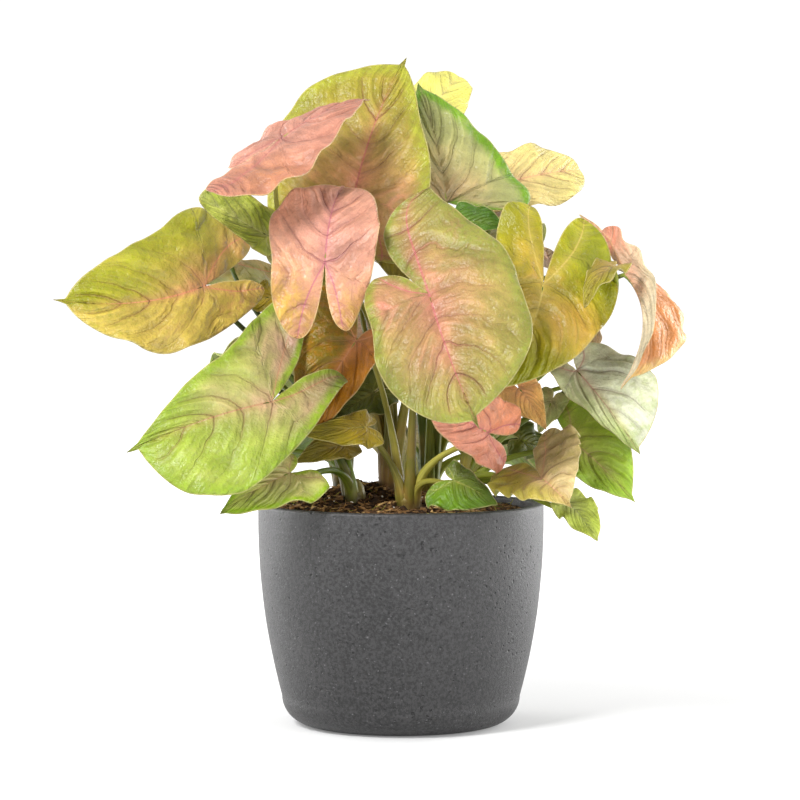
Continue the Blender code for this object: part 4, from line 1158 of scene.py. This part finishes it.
@dataclass(frozen=True)
class StalkFinish:
    """A petiole's finish: fine lines along it, reddish where it is young."""

    name: str
    light: Rgb
    dark: Rgb
    blush: Rgb

    def build(self) -> bpy.types.Material:
        """Makes the material."""
        made, g, shader, _ = new_material(f"stalk_{self.name}")
        length, share, tone = g.split("grain")
        around = g.add("Attribute", attribute_name="around").outputs["Vector"]
        place = g.add("VectorMath", {0: around, 1: (3.0, 3.0, 0.0)}, operation="MULTIPLY").outputs[0]
        drift = g.add("CombineXYZ", {2: g.math("MULTIPLY", length, 0.03)}).outputs[0]
        place = g.add("VectorMath", {0: place, 1: drift}, operation="ADD").outputs[0]
        lines = g.noise(place, 2.2, 3)
        drift_slow = g.noise(g.add("TexCoord").outputs["Object"], 45.0, 3)
        shade = g.math("ADD", g.math("MULTIPLY", lines, 0.5), g.math("MULTIPLY", drift_slow, 0.5))
        shade = g.math("ADD", shade, g.math("MULTIPLY", g.math("SUBTRACT", tone, 0.5), 0.35))
        base = g.mix(g.step(shade, 0.3, 0.72), linear(self.dark), linear(self.light))
        low = g.math("MULTIPLY", g.step(share, 0.0, 0.3, 1.0, 0.0), g.step(drift_slow, 0.4, 0.62))
        base = g.mix(g.math("MULTIPLY", low, 0.55), base, linear(self.blush))
        soil_line = g.step(length, -1.0, 6.0, 0.7, 0.0)
        base = g.mix(soil_line, base, linear((64, 48, 26)))
        bump = g.add("Bump", {"Height": lines, "Strength": 0.4, "Distance": 0.0004})
        links = made.node_tree.links
        links.new(base, shader.inputs["Base Color"])
        links.new(bump.outputs[0], shader.inputs["Normal"])
        shader.inputs["Roughness"].default_value = 0.42
        shader.inputs["Specular IOR Level"].default_value = 0.3
        return made


@dataclass(frozen=True)
class PotFinish:
    """A matte cast finish: charcoal with fine pits, darkened as painted shade, and pale specks."""

    body: Rgb = (46, 45, 46)
    # deep is the darkest grit, and also the painted shade in the pits
    deep: Rgb = (8, 8, 8)
    speck: Rgb = (120, 120, 122)

    def build(self) -> bpy.types.Material:
        """Makes the material."""
        made, g, shader, _ = new_material("cast_charcoal")
        spot = g.add("TexCoord").outputs["Object"]
        cloud = g.noise(spot, 38.0, 5, 0.6)
        grit = g.noise(spot, 620.0, 4, 0.75)
        sand = g.noise(spot, 2300.0, 2, 0.6)
        warp = g.add("TexNoise", {"Vector": spot, "Scale": 500.0}).outputs["Color"]
        moved = g.add("VectorMath",
                      {0: spot, 1: g.add("VectorMath", {0: warp, "Scale": 0.0016}, operation="SCALE").outputs[0]},
                      operation="ADD").outputs[0]
        holes = g.add("TexVoronoi", {"Vector": moved, "Scale": 430.0, "Randomness": 1.0})
        keep = g.add("SeparateXYZ", {0: holes.outputs["Color"]}).outputs[0]
        crowd = g.step(g.noise(spot, 60.0, 2), 0.35, 0.7, 0.0, 0.3)
        size = g.step(g.math("ADD", keep, crowd), 0.68, 1.2, 0.0, 0.42)
        pit = g.step(holes.outputs["Distance"], g.math("MULTIPLY", size, 0.5), size, 1.0, 0.0)
        specks = g.add("TexVoronoi", {"Vector": moved, "Scale": 620.0, "Randomness": 1.0})
        kept = g.add("SeparateXYZ", {0: specks.outputs["Color"]}).outputs[1]
        speck = g.math("MULTIPLY", g.step(specks.outputs["Distance"], 0.1, 0.3, 1.0, 0.0), g.step(kept, 0.78, 0.9))
        tone = g.math("ADD", g.math("MULTIPLY", grit, 0.9), g.math("MULTIPLY", cloud, 0.1))
        base = g.mix(g.step(tone, 0.4, 0.6), linear(self.deep), linear(self.body))
        base = g.mix(g.math("MULTIPLY", speck, 0.5), base, linear(self.speck))
        # painted shade: the pits are darkened towards the deep colour, as the shade inside the holes
        base = g.mix(g.math("MULTIPLY", pit, 0.75), base, linear(self.deep, 0.7))
        height = g.math("ADD", g.math("MULTIPLY", grit, 0.5), g.math("MULTIPLY", sand, 0.3))
        height = g.math("SUBTRACT", height, g.math("MULTIPLY", pit, 1.4))
        bump = g.add("Bump", {"Height": height, "Strength": 0.9, "Distance": 0.0007})
        links = made.node_tree.links
        links.new(base, shader.inputs["Base Color"])
        links.new(bump.outputs[0], shader.inputs["Normal"])
        shader.inputs["Roughness"].default_value = 0.5
        shader.inputs["Specular IOR Level"].default_value = 0.6
        return made


@dataclass(frozen=True)
class CrumbFinish:
    """A loose piece of the potting mix: a colour that varies from piece to piece."""

    name: str
    dark: Rgb
    light: Rgb
    scale: float = 260.0
    rough: float = 0.9

    def build(self) -> bpy.types.Material:
        """Makes the material."""
        made, g, shader, _ = new_material(f"mix_{self.name}")
        spot = g.add("TexCoord").outputs["Object"]
        broad = g.noise(spot, self.scale, 2)
        fine = g.noise(spot, self.scale * 5, 3, 0.7)
        tone = g.math("ADD", g.math("MULTIPLY", broad, 0.6), g.math("MULTIPLY", fine, 0.4))
        base = g.mix(g.step(tone, 0.36, 0.66), linear(self.dark), linear(self.light))
        bump = g.add("Bump", {"Height": fine, "Strength": 0.7, "Distance": 0.0006})
        links = made.node_tree.links
        links.new(base, shader.inputs["Base Color"])
        links.new(bump.outputs[0], shader.inputs["Normal"])
        shader.inputs["Roughness"].default_value = self.rough
        shader.inputs["Specular IOR Level"].default_value = 0.25
        return made


class Piece(Enum):
    """A kind of loose piece in the potting mix."""

    CHIP = "chip"
    GRAIN = "grain"
    FIBRE = "fibre"


@dataclass(frozen=True)
class Scatter:
    """Loose pieces strewn over the soil: how many, how large and of what shape."""

    name: str
    piece: Piece
    number: float  # pieces for each square metre
    size: float  # length of the largest
    least: float  # length of the smallest, as a share of the largest
    shape: Place  # proportions of a piece
    lift: float  # height of its middle above the soil
    seed: int
    tilt: float = 0.5  # most lean from the level, in radians


class ScatterTree:
    """Builds the geometry node tree that strews one kind of piece."""

    def __init__(self, plan: Scatter, finish: bpy.types.Material) -> None:
        self.plan = plan
        self.finish = finish
        self.tree = bpy.data.node_groups.new(f"strew_{plan.name}", "GeometryNodeTree")
        self.graph = Graph(self.tree)
        face = self.tree.interface
        face.new_socket("Geometry", in_out="INPUT", socket_type="NodeSocketGeometry")
        number = face.new_socket("Number", in_out="INPUT", socket_type="NodeSocketFloat")
        seed = face.new_socket("Seed", in_out="INPUT", socket_type="NodeSocketInt")
        face.new_socket("Geometry", in_out="OUTPUT", socket_type="NodeSocketGeometry")
        self.inputs = {number.identifier: plan.number, seed.identifier: plan.seed}

    def piece(self) -> Any:
        """The shape of one piece, about one unit long."""
        g = self.graph
        if self.plan.piece is Piece.FIBRE:
            line = g.add("GeometryNodeCurveQuadraticBezier",
                         {"Resolution": 7, "Start": (-0.5, 0, 0), "Middle": (0.05, 0.22, 0.12), "End": (0.5, 0, 0)})
            ring = g.add("GeometryNodeCurvePrimitiveCircle", {"Resolution": 4, "Radius": 0.022})
            tube = g.add("GeometryNodeCurveToMesh", {"Curve": line.outputs[0], "Profile Curve": ring.outputs[0],
                                                     "Fill Caps": True})
            return tube.outputs[0]
        detail = 2 if self.plan.piece is Piece.GRAIN else 2
        ball = g.add("GeometryNodeMeshIcoSphere", {"Radius": 0.5, "Subdivisions": detail})
        place = g.add("GeometryNodeInputPosition").outputs[0]
        rough = g.add("TexNoise", {"Vector": place, "Scale": 2.3, "Detail": 3.0}, noise_dimensions="3D")
        centred = g.add("VectorMath", {0: rough.outputs["Color"], 1: (0.5, 0.5, 0.5)}, operation="SUBTRACT")
        push = g.add("VectorMath", {0: centred.outputs[0], "Scale": 0.75}, operation="SCALE")
        moved = g.add("GeometryNodeSetPosition", {"Geometry": ball.outputs[0], "Offset": push.outputs[0]})
        sized = g.add("GeometryNodeTransform", {"Geometry": moved.outputs[0], "Scale": self.plan.shape})
        return sized.outputs[0]

    def build(self) -> bpy.types.NodeTree:
        """Joins the nodes: points on the soil, pieces on the points, real faces, finish."""
        g, plan = self.graph, self.plan
        given = g.add("NodeGroupInput").outputs
        points = g.add("GeometryNodeDistributePointsOnFaces",
                       {"Mesh": given["Geometry"], "Density": given["Number"], "Seed": given["Seed"]})
        raised = g.add("GeometryNodeSetPosition",
                       {"Geometry": points.outputs["Points"], "Offset": (0.0, 0.0, plan.lift * MM)})
        turn = g.add("FunctionNodeRandomValue",
                     {"Min": (-plan.tilt, -plan.tilt, 0.0), "Max": (plan.tilt, plan.tilt, math.tau),
                      "Seed": given["Seed"]}, data_type="FLOAT_VECTOR")
        size = g.add("FunctionNodeRandomValue",
                     {2: plan.size * plan.least * MM, 3: plan.size * MM, "Seed": given["Seed"]}, data_type="FLOAT")
        placed = g.add("GeometryNodeInstanceOnPoints",
                       {"Points": raised.outputs[0], "Instance": self.piece(),
                        "Rotation": turn.outputs[0], "Scale": size.outputs[1]})
        real = g.add("GeometryNodeRealizeInstances", {"Geometry": placed.outputs[0]})
        coloured = g.add("GeometryNodeSetMaterial", {"Geometry": real.outputs[0], "Material": self.finish})
        g.add("NodeGroupOutput", {"Geometry": coloured.outputs[0]})
        return self.tree


SCATTERS = (
    (Scatter("bark", Piece.CHIP, 60000.0, 7.0, 0.3, (1.0, 0.5, 0.24), 0.5, 3),
     CrumbFinish("bark", (52, 36, 20), (140, 104, 62))),
    (Scatter("peat", Piece.GRAIN, 150000.0, 2.3, 0.35, (1.0, 0.8, 0.6), 0.25, 8),
     CrumbFinish("peat", (32, 22, 12), (88, 62, 36))),
    (Scatter("wood", Piece.CHIP, 12000.0, 8.5, 0.45, (1.0, 0.24, 0.12), 1.1, 15, 0.35),
     CrumbFinish("wood", (124, 92, 50), (204, 170, 112))),
    (Scatter("perlite", Piece.GRAIN, 2600.0, 1.7, 0.4, (1.0, 0.85, 0.75), 0.9, 21),
     CrumbFinish("perlite", (206, 200, 186), (246, 242, 232), 500.0)),
    (Scatter("fibre", Piece.FIBRE, 15000.0, 9.0, 0.35, (1.0, 1.0, 1.0), 1.3, 34, 0.6),
     CrumbFinish("fibre", (96, 66, 34), (176, 134, 78))),
    (Scatter("moss", Piece.FIBRE, 5200.0, 8.0, 0.4, (1.0, 1.0, 1.0), 1.6, 55, 0.9),
     CrumbFinish("moss", (92, 96, 24), (168, 164, 70))),
)


def soil_patch() -> bpy.types.Object:
    """A helper: the soil's open top, clear of the shoots and the pot, that takes the loose pieces."""
    rings, sides = 26, 90
    reach = POT_RADIUS - POT_WALL - 3.6
    mesh = bpy.data.meshes.new("soil_patch")
    places = []
    for r in range(rings + 1):
        ring = level_ring((0, 0, 0), reach * r / rings, sides)
        ring[:, 2] = soil_height(ring[:, 0], ring[:, 1]) + [0.8 * crumbs(place) for place in ring]
        places.append(ring)
    flat = np.concatenate(places)
    faces = []
    for r in range(rings):
        for i in range(sides):
            j = (i + 1) % sides
            corners = (r * sides + i, (r + 1) * sides + i, (r + 1) * sides + j, r * sides + j)
            middle = flat[list(corners)].mean(0)
            clear = all(math.dist(middle[:2], shoot.place) > shoot.radius + 1.5 for shoot in SHOOTS)
            if clear and r:
                faces.append(corners)
    mesh.from_pydata(flat * MM, [], faces)
    made = bpy.data.objects.new("soil_patch", mesh)
    bpy.context.scene.collection.objects.link(made)
    return made


def strew(patch: bpy.types.Object, plan: Scatter, finish: CrumbFinish) -> bpy.types.Object:
    """Strews one kind of piece over the patch.

    Args:
        patch: the open soil.
        plan: the pieces.
        finish: their finish.

    Returns:
        The pieces as one object of real faces.
    """
    material = finish.build()
    builder = ScatterTree(plan, material)
    change = patch.modifiers.new(plan.name, "NODES")
    change.node_group = builder.build()
    for key, value in builder.inputs.items():
        change[key] = value
    patch.update_tag()
    graph = bpy.context.evaluated_depsgraph_get()
    mesh = bpy.data.meshes.new_from_object(patch.evaluated_get(graph))
    patch.modifiers.clear()
    if material.name not in mesh.materials:
        mesh.materials.append(material)
    mesh.shade_smooth()
    made = bpy.data.objects.new(f"mix_{plan.name}", mesh)
    bpy.context.scene.collection.objects.link(made)
    return made


STALK_TONES = {
    "olive": StalkFinish("olive", (156, 150, 62), (92, 88, 20), (158, 106, 62)),
    "green": StalkFinish("green", (140, 150, 44), (74, 88, 14), (150, 112, 54)),
    "dark": StalkFinish("dark", (98, 116, 24), (44, 58, 6), (124, 96, 40)),
}


class Stage:
    """The floor, the lights and the camera."""

    eye = (-0.5, -1600.0, 239.0)
    aim = (-0.5, 0.0, 170.0)
    lens = 137.4

    def build(self) -> None:
        """Sets up everything round the plant."""
        self.add_floor()
        self.add_world()
        self.add_area("key", (-950.0, -1300.0, 1450.0), 0.6, 56.0)
        self.add_area("fill", (1100.0, -1200.0, 500.0), 0.9, 15.0)
        self.add_area("left", (-1300.0, 800.0, 400.0), 1.2, 22.0)
        self.add_area("right", (1300.0, 800.0, 400.0), 1.2, 28.0)
        self.add_camera()

    def add_floor(self) -> None:
        """A wide pale floor that the pot stands on."""
        mesh = bpy.data.meshes.new("floor")
        reach = 6.0
        corners = [(-reach, -reach, 0), (reach, -reach, 0), (reach, reach, 0), (-reach, reach, 0)]
        mesh.from_pydata(corners, [], [(0, 1, 2, 3)])
        made, g, shader, _ = new_material("floor_pale")
        away = g.add("VectorMath", {0: g.add("TexCoord").outputs["Object"]}, operation="LENGTH")
        glow = g.step(away.outputs["Value"], 0.15, 1.2, 0.2, 0.9)
        made.node_tree.links.new(glow, shader.inputs["Emission Strength"])
        shader.inputs["Base Color"].default_value = (0.5, 0.5, 0.5, 1.0)
        shader.inputs["Roughness"].default_value = 0.9
        shader.inputs["Emission Color"].default_value = (1.0, 1.0, 1.0, 1.0)
        mesh.materials.append(made)
        floor = bpy.data.objects.new("floor", mesh)
        bpy.context.scene.collection.objects.link(floor)

    def add_world(self) -> None:
        """A white room: bright behind the plant and at its sides, dim in front."""
        world = bpy.data.worlds.new("white_room")
        world.use_nodes = True
        g = Graph(world.node_tree)
        back = world.node_tree.nodes["Background"]
        back.inputs["Color"].default_value = (1.0, 1.0, 1.0, 1.0)
        way = g.add("SeparateXYZ", {0: g.add("TexCoord").outputs["Generated"]}).outputs[1]
        lit = g.step(way, -0.9, 0.0, 0.22, 1.1)
        seen = g.add("LightPath").outputs["Is Camera Ray"]
        world.node_tree.links.new(g.math("MAXIMUM", lit, seen), back.inputs["Strength"])
        bpy.context.scene.world = world

    def add_area(self, name: str, place: Place, size: float, power: float) -> None:
        """Adds one large soft light aimed at the plant."""
        light = bpy.data.lights.new(name, "AREA")
        light.shape = "DISK"
        light.size = size
        light.energy = power
        lamp = bpy.data.objects.new(name, light)
        lamp.location = Vector(place) * MM
        aim = Vector((0.0, 0.0, 200.0)) * MM
        lamp.rotation_euler = (aim - lamp.location).to_track_quat("-Z", "Y").to_euler()
        bpy.context.scene.collection.objects.link(lamp)

    def add_camera(self) -> None:
        """The camera, where the photograph was taken from."""
        data = bpy.data.cameras.new("camera")
        data.lens = self.lens
        data.sensor_width = 36.0
        camera = bpy.data.objects.new("camera", data)
        camera.location = Vector(self.eye) * MM
        aim = Vector(self.aim) * MM
        camera.rotation_euler = (aim - camera.location).to_track_quat("-Z", "Y").to_euler()
        bpy.context.scene.collection.objects.link(camera)
        bpy.context.scene.camera = camera


class Plant:
    """The plant in its pot, each piece standing for its node in the frame."""

    def build(self) -> None:
        """Builds all pieces and fixes them to the frame."""
        self.add_pot()
        self.add_soil()
        self.add_stalks()
        self.add_blades()

    def place(self, piece: bpy.types.Object, slot: str, *nodes: str) -> None:
        """Lets a piece ride with the frame and stand for its nodes."""
        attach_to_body(piece, "root")
        if nodes:
            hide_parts(*nodes)

    def add_pot(self) -> None:
        """The pot."""
        self.place(build_pot(PotFinish().build()), "pot", "pot")

    def add_soil(self) -> None:
        """The potting mix and its loose pieces."""
        bed = build_soil(CrumbFinish("bed", (26, 18, 10), (78, 52, 28)).build())
        self.place(bed, "soil", "soil")
        patch = soil_patch()
        for plan, finish in SCATTERS:
            self.place(strew(patch, plan, finish), "soil")
        bpy.data.objects.remove(patch)

    def add_stalks(self) -> None:
        """The shoots with their petioles."""
        finishes = {tone: finish.build() for tone, finish in STALK_TONES.items()}
        for shoot in SHOOTS:
            self.place(build_shoot(shoot, finishes[shoot.tone]), "stem", shoot.name)

    def add_blades(self) -> None:
        """The leaf blades."""
        group = leaf_group()
        finishes: dict[str, bpy.types.Material] = {}
        for leaf in LEAVES:
            if leaf.look not in finishes:
                finishes[leaf.look] = LeafFinish(leaf.look, LOOKS[leaf.look]).build(group)
            self.place(build_blade(leaf, finishes[leaf.look]), leaf.slot, leaf.name)
        LOG.info("%d blades", len(LEAVES))


def main() -> None:
    """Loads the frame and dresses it."""
    logging.basicConfig(level=logging.INFO)
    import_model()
    bpy.context.scene.view_settings.view_transform = "Standard"
    Plant().build()
    Stage().build()
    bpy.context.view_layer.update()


if __name__ == "__main__":
    main()
